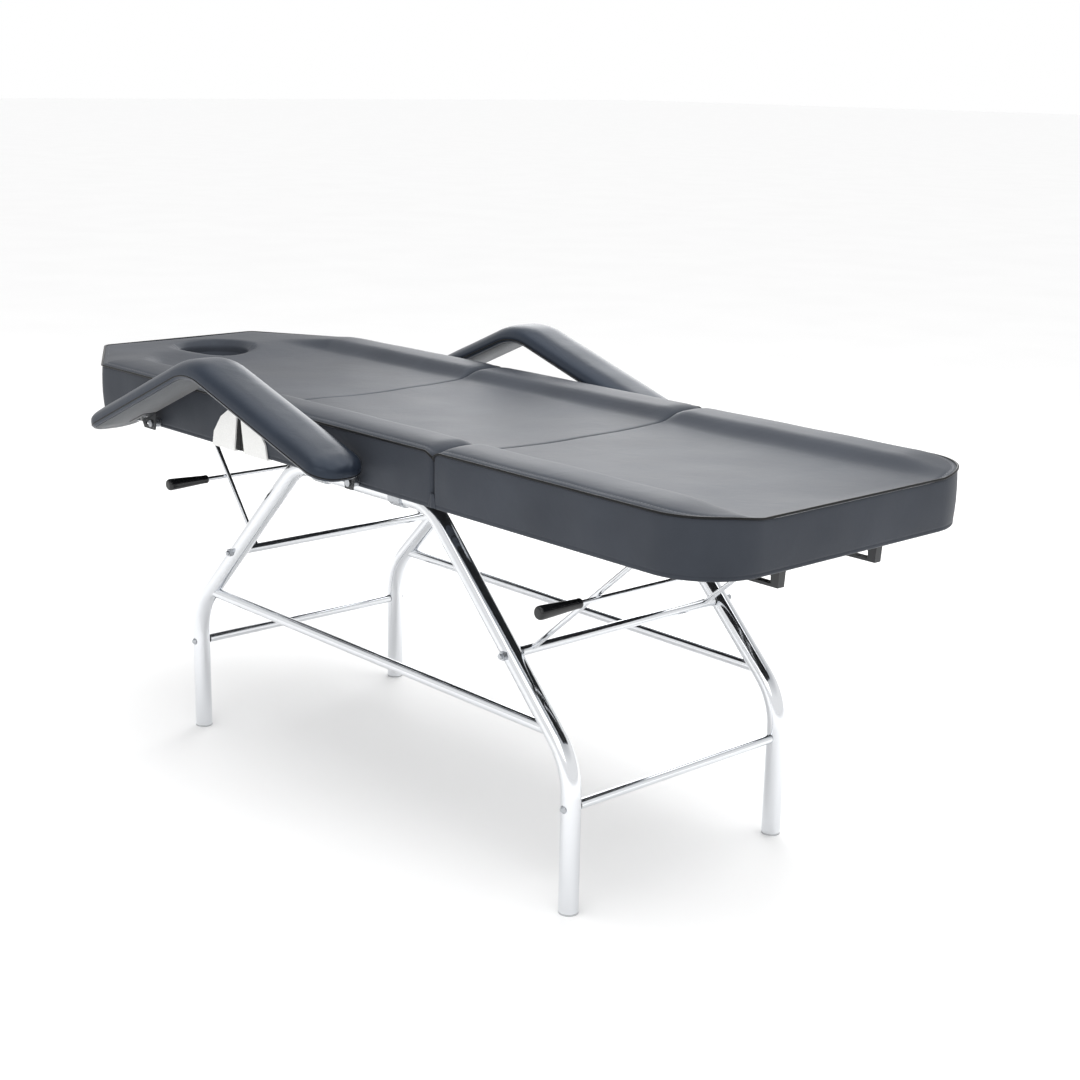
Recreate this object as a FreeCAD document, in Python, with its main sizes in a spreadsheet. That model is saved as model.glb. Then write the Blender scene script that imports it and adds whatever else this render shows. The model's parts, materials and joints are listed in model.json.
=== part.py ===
import FreeCAD, Part
import os
import re
import Sketcher

# Three-section facial treatment bed: a bent-tube frame carries a fixed seat, a backrest that rises,
# a leg rest that drops, two prop frames that hold them up, and two armrests that follow the backrest.
# Millimetres and degrees. +X points to the foot end, +Z up. The parts are drawn about the middle of
# the four feet, and are written with the origin on the floor under the middle of the whole bed.

Vector = FreeCAD.Vector
Rotation = FreeCAD.Rotation
Placement = FreeCAD.Placement

UP = Vector(0, 0, 1)
ACROSS = Vector(0, 1, 0)
ALONG = Vector(1, 0, 0)
TINY = 1e-6
CLOSE = 0.01
BRACKET_SCREW_SHARES = (0.25, 0.75)

DIMENSIONS = {
    # side frames
    "foot_reach": 530, "frame_half": 237, "tube_dia": 32, "tube_wall": 1.5,
    "knee_height": 243, "knee_radius": 120, "leg_lean": 45, "rail_height": 585, "rail_radius": 90,
    "cap_lip": 3, "cap_stem": 14,
    # cross tubes and lengthwise braces
    "cross_dia": 16, "cross_wall": 1.5, "cross_height": 175, "cross_gap": 0.5,
    "brace_dia": 19, "brace_height": 285,
    "bolt_dia": 6, "bolt_head": 13, "bolt_dome": 4, "bolt_in": 20, "cope_long": 200,
    # clamps round the top rails
    "clamp_place": 110, "clamp_half": 15, "clamp_wall": 3, "clamp_wide": 78, "clamp_thick": 3.5,
    "clamp_screw": 29,
    # upholstered sections
    "pad_half": 306, "pad_bottom": 605, "board_thick": 15, "pad_top": 696, "board_inset": 3,
    "seam_gap": 2.5, "edge_round": 14, "taper_share": 0.4, 
    "back_seam": -265, "leg_seam": 275,
    "shoulder": -753, "head_end": -975, "head_half": 178, "shoulder_round": 22,
    "foot_end": 853, "foot_round": 105, "face_hole_dia": 148, "face_hole_place": -845,
    # hinge of the backrest
    "back_hinge_height": 680, "plate_thick": 3, "plate_gap": 0.3, "plate_reach": 88, "ear_radius": 11,
    "rivet_dia": 8, "rivet_head": 16, "rivet_high": 2, "fit": 0.05, "spare": 2,
    "toe_reach": 16, "fan_side": 82, "fan_side_up": 24, "fan_waist": 58, "fan_waist_up": 54,
    "fan_top": 20, "fan_top_up": 2, "fan_throat": 6, "fan_throat_down": 10,
    "neck_place": 22, "neck_drop": 12, "neck_long": 8, "neck_high": 14, "tie_long": 16,
    "plate_screw_near": 35, "plate_screw_far": 70,
    # hinges of the leg rest
    "leg_hinge_height": 600, "knuckle_dia": 8, "pin_dia": 4, "leaf_thick": 2, "leaf_width": 60,
    "leaf_reach": 35, "hinge_place": 150, "tongue": 6, "knuckle_split": 10, "knuckle_gap": 0.3,
    "leaf_screw_place": 22, "leaf_screw_half": 18,
    # prop frames
    "prop_place": 389, "prop_height": 385, "prop_half": 196, "arm_dia": 9, "bar_dia": 10, "grip_rod": 8,
    "head_bar_place": -548, "head_bar_height": 592, "foot_bar_place": 628, "foot_bar_height": 588,
    "head_grip_up": 157, "foot_grip_up": 192, "grip_long": 85, "grip_outer": 22, "grip_inner": 15,
    "grip_reach": 323, "grip_depth": 60, "pivot_bolt_dia": 8, "pivot_bolt_in": 17,
    "nut_size": 13, "nut_high": 6.5, "stud_end": 4, "pivot_gap": 2, "bore_spare": 3, "rod_spare": 6,
    # racks
    "rack_place": 109, "rack_wide": 14, "post_top": 19, "post_foot": 13, "strip_thick": 4.5,
    "back_rack_drop": 50, "back_rack_near": -284, "back_rack_far": -580,
    "leg_rack_drop": 40, "leg_rack_near": 604, "leg_rack_far": 806, "rack_screw_sink": 2,
    "rack_screw_in": 12,
    # armrests
    "arm_inner": 318, "arm_outer": 418, "crest_place": -262, "crest_height": 752,
    "tail_place": -622, "nose_place": 132, "tail_slope": 23.4, "nose_slope": 17.2,
    "core_thick": 9, "arm_thick": 32, "core_inset": 5, "arm_round": 42, "crest_round": 150,
    "tail_stud_place": -543, "nose_stud_place": 80, "stud_height": 613, "stud_dia": 8, "stud_in": 22,
    "stud_gap": 0.5, "stud_head": 2.5, "stud_head_radius": 6.5,
    "bracket_inner": 320, "bracket_thick": 3, "bracket_half": 18, "bracket_foot": 10, "bracket_drop": 11,
    "slot_travel": 16.5, "slot_play": 1, "flange_wide": 30, "flange_thick": 2.5, "flange_screw": 18.6,
    "screw_dia": 4, "screw_head": 8, "screw_high": 2,
    "screw_in": 7,
}

doc = FreeCAD.newDocument("TreatmentBed")
sheet = doc.addObject("Spreadsheet::Sheet", "Dimensions")
for row, (alias, number) in enumerate(DIMENSIONS.items(), start=1):
    sheet.set(f"A{row}", alias)
    sheet.set(f"B{row}", str(number))
    sheet.setAlias(f"B{row}", alias)
doc.recompute()
nodes = []


def formula(text):
    """A formula in the sheet's own words, written out for the expression engine."""
    def word(match):
        name = match.group(0)
        return f"Dimensions.{name}" if name in DIMENSIONS else name
    return re.sub(r"[a-z_]+", word, str(text))


def size(text):
    return float(sheet.evalExpression(formula(text)))


def bind(thing, **formulas):
    for name, text in formulas.items():
        thing.setExpression(name, formula(text))


def node(name, thing):
    """Name one finished sub-part."""
    thing.Label = name
    nodes.append(thing)
    return thing


# ---------------------------------------------------------------- sketches and bodies

def new_sketch(body, role):
    sketch = body.newObject("Sketcher::SketchObject", body.Name + "_sketch")
    plane = next(feature for feature in body.Origin.OriginFeatures if feature.Role == role)
    sketch.AttachmentSupport = [(plane, "")]
    sketch.MapMode = "FlatFace"
    return sketch


def fix(sketch, shape, point, across, up):
    """Hold one point of a sketch at the place that two formulas give."""
    for kind, text, axis in (("DistanceX", across, -2), ("DistanceY", up, -1)):
        amount = size(text)
        if abs(amount) < TINY:
            sketch.addConstraint(Sketcher.Constraint("PointOnObject", shape, point, axis))
            continue
        index = sketch.addConstraint(Sketcher.Constraint(kind, -1, 1, shape, point, amount))
        sketch.setExpression(f"Constraints[{index}]", formula(text))


def draw_outline(sketch, corners):
    """A closed outline of straight sides through corners given as pairs of formulas."""
    spots = [Vector(size(across), size(up), 0) for across, up in corners]
    first = sketch.GeometryCount
    last = len(spots) - 1
    for index, spot in enumerate(spots):
        sketch.addGeometry(Part.LineSegment(spot, spots[(index + 1) % len(spots)]), False)
    for index, (across, up) in enumerate(corners):
        before = first + (index - 1 if index else last)
        sketch.addConstraint(Sketcher.Constraint("Coincident", before, 2, first + index, 1))
        fix(sketch, first + index, 1, across, up)


def draw_circle(sketch, across, up, radius):
    circle = Part.Circle(Vector(size(across), size(up), 0), UP, size(radius))
    index = sketch.addGeometry(circle, False)
    fix(sketch, index, 3, across, up)
    held = sketch.addConstraint(Sketcher.Constraint("Radius", index, size(radius)))
    sketch.setExpression(f"Constraints[{held}]", formula(radius))


def draw_run(sketch, points):
    """An open run of straight lines between held points, in pairs; the pairs are joined by arcs."""
    lines = []
    for start, end in zip(points[0::2], points[1::2]):
        ends = [Vector(size(across), size(up), 0) for across, up in (start, end)]
        index = sketch.addGeometry(Part.LineSegment(*ends), False)
        fix(sketch, index, 1, *start)
        fix(sketch, index, 2, *end)
        lines.append(index)
    return lines


def draw_bend(sketch, before, after, radius):
    """The clockwise arc that leaves one line and meets the next at a tangent."""
    leaving = sketch.Geometry[before]
    start, end = leaving.EndPoint, sketch.Geometry[after].StartPoint
    heading = (leaving.EndPoint - leaving.StartPoint).normalize()
    centre = start + Vector(heading.y, -heading.x, 0) * size(radius)
    turn_from = Vector(1, 0, 0).getAngle(end - centre)
    turn_to = Vector(1, 0, 0).getAngle(start - centre)
    arc = Part.ArcOfCircle(Part.Circle(centre, UP, size(radius)), turn_from, turn_to)
    index = sketch.addGeometry(arc, False)
    sketch.addConstraint(Sketcher.Constraint("Coincident", index, 2, before, 2))
    sketch.addConstraint(Sketcher.Constraint("Coincident", index, 1, after, 1))
    held = sketch.addConstraint(Sketcher.Constraint("Radius", index, size(radius)))
    sketch.setExpression(f"Constraints[{held}]", formula(radius))


def slab(name, role, corners, thick, spot, holes=()):
    """A flat plate: its outline and round holes padded by its thickness.

    On the XY plane it grows upwards, on the XZ plane towards -Y.
    """
    body = doc.addObject("PartDesign::Body", name)
    sketch = new_sketch(body, role)
    draw_outline(sketch, corners)
    for across, up, radius in holes:
        draw_circle(sketch, across, up, radius)
    pad = body.newObject("PartDesign::Pad", name + "_pad")
    pad.Profile = sketch
    bind(pad, Length=thick)
    body.Placement = Placement(spot, Rotation())
    doc.recompute()
    return body


def round_edges(body, radius, chosen):
    """Round those edges of the body's last feature that the test picks out."""
    base = body.Tip
    edges = base.Shape.Edges
    picked = [f"Edge{index}" for index, edge in enumerate(edges, start=1) if chosen(edge)]
    rounding = body.newObject("PartDesign::Fillet", body.Name + "_round")
    rounding.Base = (base, picked)
    bind(rounding, Radius=radius)
    doc.recompute()


def upright_at(*places):
    """Picks the upright edges whose distance along the bed is one of the given formulas."""
    wanted = [size(place) for place in places]

    def chosen(edge):
        ends = [vertex.Point for vertex in edge.Vertexes]
        upright = len(ends) == 2 and abs(ends[0].z - ends[1].z) > 1 and abs(ends[0].x - ends[1].x) < TINY
        return upright and any(abs(ends[0].x - place) < CLOSE for place in wanted)
    return chosen


def all_round_top(edge):
    """Picks the edges in the topmost face of a slab."""
    box = edge.BoundBox
    return box.ZLength < TINY and abs(box.ZMax - size("pad_top - pad_bottom - board_thick")) < CLOSE


# ---------------------------------------------------------------- primitives

def rod(name, radius, length, start, heading):
    bar = doc.addObject("Part::Cylinder", name)
    bind(bar, Radius=radius, Height=length)
    bar.Placement = Placement(start, Rotation(UP, heading))
    return bar


def block(name, long, wide, high, corner, turn=Rotation()):
    box = doc.addObject("Part::Box", name)
    bind(box, Length=long, Width=wide, Height=high)
    box.Placement = Placement(corner, turn)
    return box


def together(name, parts):
    """Several separate solids in one sub-part."""
    bunch = doc.addObject("Part::Compound", name)
    bunch.Links = parts
    return bunch


def fused(name, parts):
    whole = doc.addObject("Part::MultiFuse", name)
    whole.Shapes = parts
    return whole


def drilled(name, base, tools):
    """The base with the room for its bolts, pins or screws taken out."""
    cut = doc.addObject("Part::Cut", name)
    cut.Base = base
    cut.Tool = tools[0] if len(tools) == 1 else together(name + "_tools", tools)
    return cut


def spread(spot, heading, step):
    """The point that lies a step further along a heading."""
    return spot + heading * step


# ---------------------------------------------------------------- bent side frames

def bent_tube(name, side):
    """One tube: foot, knee, sloping leg, level rail under the seat, and down again."""
    slope = "(rail_height - knee_height) / tan(leg_lean)"
    knee_run = "knee_radius * tan((90 - leg_lean) / 2)"
    rail_run = "rail_radius * tan(leg_lean / 2)"
    half = [
        ("-foot_reach", "0"),
        ("-foot_reach", f"knee_height - cap_lip - {knee_run}"),
        (f"-foot_reach + {knee_run} * cos(leg_lean)",
         f"knee_height - cap_lip + {knee_run} * sin(leg_lean)"),
        (f"-foot_reach + {slope} - {rail_run} * cos(leg_lean)",
         f"rail_height - cap_lip - {rail_run} * sin(leg_lean)"),
        (f"-foot_reach + {slope} + {rail_run}", "rail_height - cap_lip"),
    ]
    mirrored = [(f"-({across})", up) for across, up in reversed(half)]
    body = doc.addObject("PartDesign::Body", name)
    path = new_sketch(body, "XZ_Plane")
    lines = draw_run(path, half + mirrored)
    bends = ["knee_radius", "rail_radius", "rail_radius", "knee_radius"]
    for before, after, radius in zip(lines, lines[1:], bends):
        draw_bend(path, before, after, radius)
    section = new_sketch(body, "XY_Plane")
    draw_circle(section, "-foot_reach", "0", "tube_dia / 2")
    draw_circle(section, "-foot_reach", "0", "tube_dia / 2 - tube_wall")
    doc.recompute()
    pipe = body.newObject("PartDesign::AdditivePipe", name + "_pipe")
    pipe.Profile = section
    pipe.Spine = (path, [])
    body.Placement = Placement(Vector(0, side * size("frame_half"), size("cap_lip")), Rotation())
    return body


def leg_cap(name, end, side):
    """A plug in the foot of a leg, with a lip that stands on the floor."""
    spot = Vector(end * size("foot_reach"), side * size("frame_half"), 0)
    lip = rod(name + "_lip", "tube_dia / 2", "cap_lip", spot, UP)
    stem = rod(name + "_stem", "tube_dia / 2 - tube_wall", "cap_lip + cap_stem", spot, UP)
    return fused(name, [lip, stem])


def cross_bolt(name, end, side):
    """A dome-headed bolt through a leg into the end of a lower cross tube."""
    outside = size("frame_half + tube_dia / 2")
    long = "tube_dia + cross_gap + bolt_in"
    heading = Vector(0, -side, 0)
    spot = Vector(end * size("foot_reach"), side * outside, size("cross_height"))
    shank = rod(name + "_shank", "bolt_dia / 2", long, spot, heading)
    dome = doc.addObject("Part::Cone", name + "_dome")
    bind(dome, Radius1="bolt_head / 2", Radius2="bolt_head / 4", Height="bolt_dome")
    dome.Placement = Placement(spot, Rotation(UP, -heading))
    return fused(name, [shank, dome])


def pivot_bolt(name, end, side):
    """A stud through a leg into the end of a prop's pivot tube, with its nut outside."""
    outside = size("frame_half + tube_dia / 2")
    heading = Vector(0, -side, 0)
    spot = Vector(end * size("prop_place"), side * outside, size("prop_height"))
    start = spread(spot, heading, -size("nut_high + stud_end"))
    long = "nut_high + stud_end + tube_dia + pivot_gap + pivot_bolt_in"
    shank = rod(name + "_shank", "pivot_bolt_dia / 2", long, start, heading)
    nut = doc.addObject("Part::Prism", name + "_nut")
    nut.Polygon = 6
    bind(nut, Circumradius="nut_size / 2 / cos(30)", Height="nut_high")
    nut.Placement = Placement(spot, Rotation(UP, -heading))
    return fused(name, [shank, nut])


def lower_cross_tube(name, end, bolts):
    inside = "frame_half - tube_dia / 2 - cross_gap"
    start = Vector(end * size("foot_reach"), -size(inside), size("cross_height"))
    outer = rod(name + "_outer", "cross_dia / 2", f"2 * ({inside})", start, ACROSS)
    return drilled(name, outer, bolts)


def side_brace(name, side):
    """A lengthwise tube whose ends are coped round the two sloping legs."""
    reach = "foot_reach - (brace_height - knee_height) / tan(leg_lean)"
    spot = Vector(-size(reach), side * size("frame_half"), size("brace_height"))
    outer = rod(name + "_outer", "brace_dia / 2", f"2 * ({reach})", spot, ALONG)
    cores = [rod(name + "_core", "brace_dia / 2 - cross_wall", f"2 * ({reach})", spot, ALONG)]
    for end in (-1, 1):
        knee = Vector(end * size("foot_reach"), spot.y, size("knee_height"))
        heading = Rotation(ACROSS, -end * size("90 - leg_lean")).multVec(UP)
        cores.append(rod(f"{name}_cope", "tube_dia / 2", "cope_long", knee, heading))
    return drilled(name, outer, cores)


def rail_clamp(name, along, side):
    """A ring round the top rail with two ears under the seat board."""
    centre = Vector(along, side * size("frame_half"), size("rail_height"))
    start = centre - ALONG * size("clamp_half")
    ring = rod(name + "_ring", "tube_dia / 2 + clamp_wall", "2 * clamp_half", start, ALONG)
    corner = Vector(start.x, centre.y - size("clamp_wide / 2"), size("pad_bottom - clamp_thick"))
    ears = block(name + "_ears", "2 * clamp_half", "clamp_wide", "clamp_thick", corner)
    return drilled(name, fused(name + "_solid", [ring, ears]),
                   [rod(name + "_room", "tube_dia / 2", "2 * clamp_half", start, ALONG)])


def wood_screw(name, spot, heading, through):
    """A screw whose head bears on the plate at the spot and whose shank enters the board."""
    shank = rod(name + "_shank", "screw_dia / 2", f"{through} + screw_in", spot, heading)
    head = rod(name + "_head", "screw_head / 2", "screw_high", spread(spot, heading, -size("screw_high")),
               heading)
    return fused(name, [shank, head])


# ---------------------------------------------------------------- upholstered sections

def rectangle(low, high, half):
    return [(low, f"-({half})"), (high, f"-({half})"), (high, half), (low, half)]


def section_outline(inset):
    """The plan outlines of the three sections, each drawn in by an inset."""
    half = f"pad_half - {inset}"
    head = f"head_half - {inset} * taper_share"
    shoulder = f"shoulder + {inset} * taper_share"
    head_end = f"head_end + {inset}"
    back_end = f"back_seam - seam_gap - {inset}"
    back = [(back_end, half), (shoulder, half), (head_end, head),
            (head_end, f"-({head})"), (shoulder, f"-({half})"), (back_end, f"-({half})")]
    return {"seat": rectangle(f"back_seam + seam_gap + {inset}", f"leg_seam - seam_gap - {inset}", half),
            "backrest": back,
            "leg_rest": rectangle(f"leg_seam + seam_gap + {inset}", f"foot_end - {inset}", half)}


FACE_HOLE = ("face_hole_place", "0", "face_hole_dia / 2")


def round_plan(section, body, inset):
    """The rounded plan corners of the head end and the foot end."""
    if section == "backrest":
        round_edges(body, "shoulder_round",
                    upright_at(f"shoulder + {inset} * taper_share", f"head_end + {inset}"))
    if section == "leg_rest":
        round_edges(body, f"foot_round - {inset}", upright_at(f"foot_end - {inset}"))


def board(section):
    holes = [FACE_HOLE] if section == "backrest" else []
    body = slab(section + "_board_blank", "XY_Plane", section_outline("board_inset")[section],
                "board_thick", Vector(0, 0, size("pad_bottom")), holes)
    round_plan(section, body, "board_inset")
    return body


def cushion(section):
    holes = [FACE_HOLE] if section == "backrest" else []
    body = slab(section + "_cushion", "XY_Plane", section_outline("0")[section],
                "pad_top - pad_bottom - board_thick", Vector(0, 0, size("pad_bottom + board_thick")), holes)
    round_plan(section, body, "0")
    round_edges(body, "edge_round", all_round_top)
    return body


# ---------------------------------------------------------------- backrest hinge plates

def hinge_plate(name, end, side, lift, bore):
    """A fan-shaped plate on a section's side, its ear round the pivot and a foot turned under the board."""
    toe = f"back_seam + {end} * toe_reach"
    heel = f"back_seam + {end} * plate_reach"
    under = "pad_bottom - flange_thick"
    corners = [(toe, under), (heel, under),
               (f"back_seam + {end} * fan_side", "pad_bottom + fan_side_up"),
               (f"back_seam + {end} * fan_waist", "pad_bottom + fan_waist_up"),
               (f"back_seam + {end} * fan_top", "back_hinge_height + fan_top_up"),
               (f"back_seam + {end} * fan_throat", "back_hinge_height - fan_throat_down")]
    inner = size("pad_half + plate_gap")
    spot = Vector(0, edge_of(inner, "plate_thick", side), 0)
    face = slab(name + "_fan", "XZ_Plane", corners, "plate_thick", spot)
    ear_start = Vector(size("back_seam"), side * (inner + lift), size("back_hinge_height"))
    outward = Vector(0, side, 0)
    ear = rod(name + "_ear", "ear_radius", "plate_thick", ear_start, outward)
    foot_corner = Vector(min(size(toe), size(heel)), 0, size(under))
    foot_corner.y = inner - size("flange_wide") if side > 0 else -inner
    foot = block(name + "_foot", "plate_reach - toe_reach", "flange_wide", "flange_thick", foot_corner)
    hole = rod(name + "_hole", bore, "plate_thick + 2 * spare",
               spread(ear_start, outward, -size("spare")), outward)
    outer = -inner - size("plate_thick") - lift
    tie_left = "back_seam - neck_place" if end < 0 else "back_seam + neck_place - tie_long"
    tie_corner = Vector(size(tie_left), inner + lift if side > 0 else outer,
                        size("back_hinge_height - neck_drop"))
    tie = block(name + "_tie", "tie_long", "plate_thick", "neck_high", tie_corner)
    pieces = [face, ear, foot, tie]
    if lift:
        neck_corner = Vector(tie_corner.x, inner if side > 0 else outer, tie_corner.z)
        neck = block(name + "_neck", "neck_long", f"plate_thick + {lift}", "neck_high", neck_corner)
        pieces.append(neck)
    return drilled(name, fused(name + "_solid", pieces), [hole])


def edge_of(inner, thick, side):
    """Where a plate that pads towards -Y has to start, so that it stands outside the inner face."""
    return inner + size(thick) if side > 0 else -inner


def hinge_rivet(name, side):
    """The rivet that both plates of one side turn on."""
    start = Vector(size("back_seam"), side * size("pad_half + plate_gap"), size("back_hinge_height"))
    outward = Vector(0, side, 0)
    long = "2 * plate_thick + 2 * plate_gap"
    shank = rod(name + "_shank", "rivet_dia / 2", long, start, outward)
    head_start = spread(start, outward, size(long))
    head = rod(name + "_head", "rivet_head / 2", "rivet_high", head_start, outward)
    return fused(name, [shank, head])


# ---------------------------------------------------------------- leg-rest butt hinges

def leaf(name, end, side, first, last, bore):
    """One leaf of a butt hinge with its share of the knuckles."""
    knuckle_z = size("leg_hinge_height")
    middle = side * size("hinge_place")
    left = size("leg_seam + tongue") if end > 0 else size("leg_seam - leaf_reach")
    plate = block(name + "_plate", "leaf_reach - tongue", "leaf_width", "leaf_thick",
                  Vector(left, middle - size("leaf_width / 2"), size("pad_bottom - leaf_thick")))
    pieces = [plate]
    for number, (low, high) in enumerate(zip(first, last)):
        start = Vector(size("leg_seam"), middle + low, knuckle_z)
        pieces.append(rod(f"{name}_knuckle{number}", "knuckle_dia / 2", str(high - low), start, ACROSS))
        tongue_start = size("leg_seam") if end > 0 else size("leg_seam - tongue")
        corner = Vector(tongue_start, middle + low, size("pad_bottom - leaf_thick"))
        pieces.append(block(f"{name}_tongue{number}", "tongue", str(high - low), "leaf_thick", corner))
    pin_start = Vector(size("leg_seam"), middle - size("leaf_width / 2 + spare"), knuckle_z)
    hole = rod(name + "_hole", bore, "leaf_width + 2 * spare", pin_start, ACROSS)
    return drilled(name, fused(name + "_solid", pieces), [hole])


def hinge_pin(name, side):
    middle = side * size("hinge_place")
    start = Vector(size("leg_seam"), middle - size("leaf_width / 2"), size("leg_hinge_height"))
    return rod(name, "pin_dia / 2", "leaf_width", start, ACROSS)


# ---------------------------------------------------------------- prop frames

def prop_frame(label, end, bar_place, bar_height, grip_up):
    """Pivot tube, two arms, the bar that sits in the racks, the handle rod and its grip."""
    foot = Vector(end * size("prop_place"), 0, size("prop_height"))
    bar = Vector(size(bar_place), 0, size(bar_height))
    heading = (bar - foot).normalize()
    long = (bar - foot).Length
    inside = "frame_half - tube_dia / 2 - pivot_gap"
    tube_start = Vector(foot.x, -size(inside), foot.z)
    tube = rod(label + "_tube_blank", "cross_dia / 2", f"2 * ({inside})", tube_start, ACROSS)
    bores = [rod(f"{label}_bore{side}", "pivot_bolt_dia / 2 + fit", "pivot_bolt_in + bore_spare",
                 Vector(foot.x, side * size(inside), foot.z), Vector(0, -side, 0)) for side in (-1, 1)]
    node(label + "_pivot_tube", drilled(label + "_pivot_tube", tube, bores))
    clear = size("cross_dia / 2")
    for side, word in ((-1, "right"), (1, "left")):
        start = spread(foot, heading, clear) + ACROSS * side * size("prop_half")
        arm_long = long - clear - size("bar_dia / 2")
        node(f"{label}_arm_{word}", rod(f"{label}_arm_{word}", "arm_dia / 2", str(arm_long), start, heading))
    ends = size("prop_half + bar_dia")
    node(label + "_bar", rod(label + "_bar", "bar_dia / 2", "2 * (prop_half + bar_dia)",
                             bar - ACROSS * ends, ACROSS))
    outward = Vector(heading.z, 0, -heading.x) * end
    rod_centre = spread(spread(foot, heading, size(grip_up)), outward, size("arm_dia / 2 + grip_rod / 2"))
    rod_start = rod_centre - ACROSS * (size("grip_reach - grip_long + grip_depth"))
    handle_long = "grip_reach - grip_long + grip_depth + prop_half + rod_spare"
    handle = rod(label + "_handle_rod", "grip_rod / 2", handle_long, rod_start, ACROSS)
    node(label + "_handle_rod", handle)
    cone = doc.addObject("Part::Cone", label + "_grip_cone")
    bind(cone, Radius1="grip_outer / 2", Radius2="grip_inner / 2", Height="grip_long")
    cone.Placement = Placement(rod_centre - ACROSS * size("grip_reach"), Rotation(UP, ACROSS))
    node(label + "_grip", drilled(label + "_grip", cone, [handle]))


# ---------------------------------------------------------------- racks

def rack(name, side, near, far, drop):
    """A strip hung under the board on two tapered posts, open between for the prop's bar."""
    toward = 1 if size(far) > size(near) else -1
    pieces = []
    for number, place in enumerate((near, far)):
        low_end = f"pad_bottom - {drop}"
        corners = [(f"{place} - post_top / 2", "pad_bottom"), (f"{place} - post_foot / 2", low_end),
                   (f"{place} + post_foot / 2", low_end), (f"{place} + post_top / 2", "pad_bottom")]
        spot = Vector(0, side * size("rack_place") + size("rack_wide / 2"), 0)
        pieces.append(slab(f"{name}_post{number}", "XZ_Plane", corners, "rack_wide", spot))
    low = min(size(near), size(far))
    corner = Vector(low, side * size("rack_place") - size("rack_wide / 2"), size(f"pad_bottom - {drop}"))
    pieces.append(block(name + "_strip", f"({far} - {near}) * {toward}", "rack_wide", "strip_thick", corner))
    return fused(name, pieces)


# ---------------------------------------------------------------- armrests

def chevron(depth, inset="0"):
    """Tail, crest and nose of the armrest's side view at a depth above its underside.

    The two ends are drawn in along their slopes by the inset.
    """
    spread_out = "(1 + cos(tail_slope + nose_slope))"
    tail_height = "crest_height - (crest_place - tail_place) * tan(tail_slope)"
    nose_height = "crest_height - (nose_place - crest_place) * tan(nose_slope)"
    tail = (f"tail_place + {inset} * cos(tail_slope) - {depth} * sin(tail_slope)",
            f"{tail_height} + {inset} * sin(tail_slope) + {depth} * cos(tail_slope)")
    crest = (f"crest_place + {depth} * (sin(nose_slope) - sin(tail_slope)) / {spread_out}",
             f"crest_height + {depth} * (cos(tail_slope) + cos(nose_slope)) / {spread_out}")
    nose = (f"nose_place - {inset} * cos(nose_slope) + {depth} * sin(nose_slope)",
            f"{nose_height} + {inset} * sin(nose_slope) + {depth} * cos(nose_slope)")
    return [tail, crest, nose]


def arm_layer(name, low, high, inset, side):
    """One layer of the armrest between two depths, rounded in plan at both ends."""
    corners = chevron(low, inset) + list(reversed(chevron(high, inset)))
    wide = f"arm_outer - arm_inner - 2 * {inset}"
    start = edge_of(size(f"arm_inner + {inset}"), wide, side)
    body = slab(name, "XZ_Plane", corners, wide, Vector(0, start, 0))
    ends = [size(corners[0][0]), size(corners[2][0])]

    def end_corner(edge):
        points = [vertex.Point for vertex in edge.Vertexes]
        level = abs(points[0].y - points[1].y) < TINY
        near_end = any(abs(min(points, key=lambda p: p.z).x - place) < CLOSE for place in ends)
        return level and near_end and edge.Length < size("2 * arm_thick")
    round_edges(body, f"arm_round - {inset}", end_corner)
    return body


def over_the_crest(edge):
    """Picks the edge along the top of the armrest's crest."""
    crest_z = size(chevron("arm_thick")[1][1])
    return all(abs(vertex.Point.z - crest_z) < CLOSE for vertex in edge.Vertexes)


def stud(name, place, side):
    """A stud from a board's edge out to an armrest bracket, with a collar and a head."""
    outward = Vector(0, side, 0)
    start = Vector(size(place), side * size("pad_half - stud_in"), size("stud_height"))
    shank_long = "bracket_inner + bracket_thick + 2 * stud_gap - pad_half + stud_in"
    shank = rod(name + "_shank", "stud_dia / 2", shank_long, start, outward)
    collar = rod(name + "_collar", "stud_dia", "bracket_inner - pad_half - 2 * stud_gap",
                 Vector(start.x, side * size("pad_half + stud_gap"), start.z), outward)
    head = rod(name + "_head", "stud_head_radius", "stud_head",
               Vector(start.x, side * size("bracket_inner + bracket_thick + stud_gap"), start.z), outward)
    return fused(name, [shank, collar, head])


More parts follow.
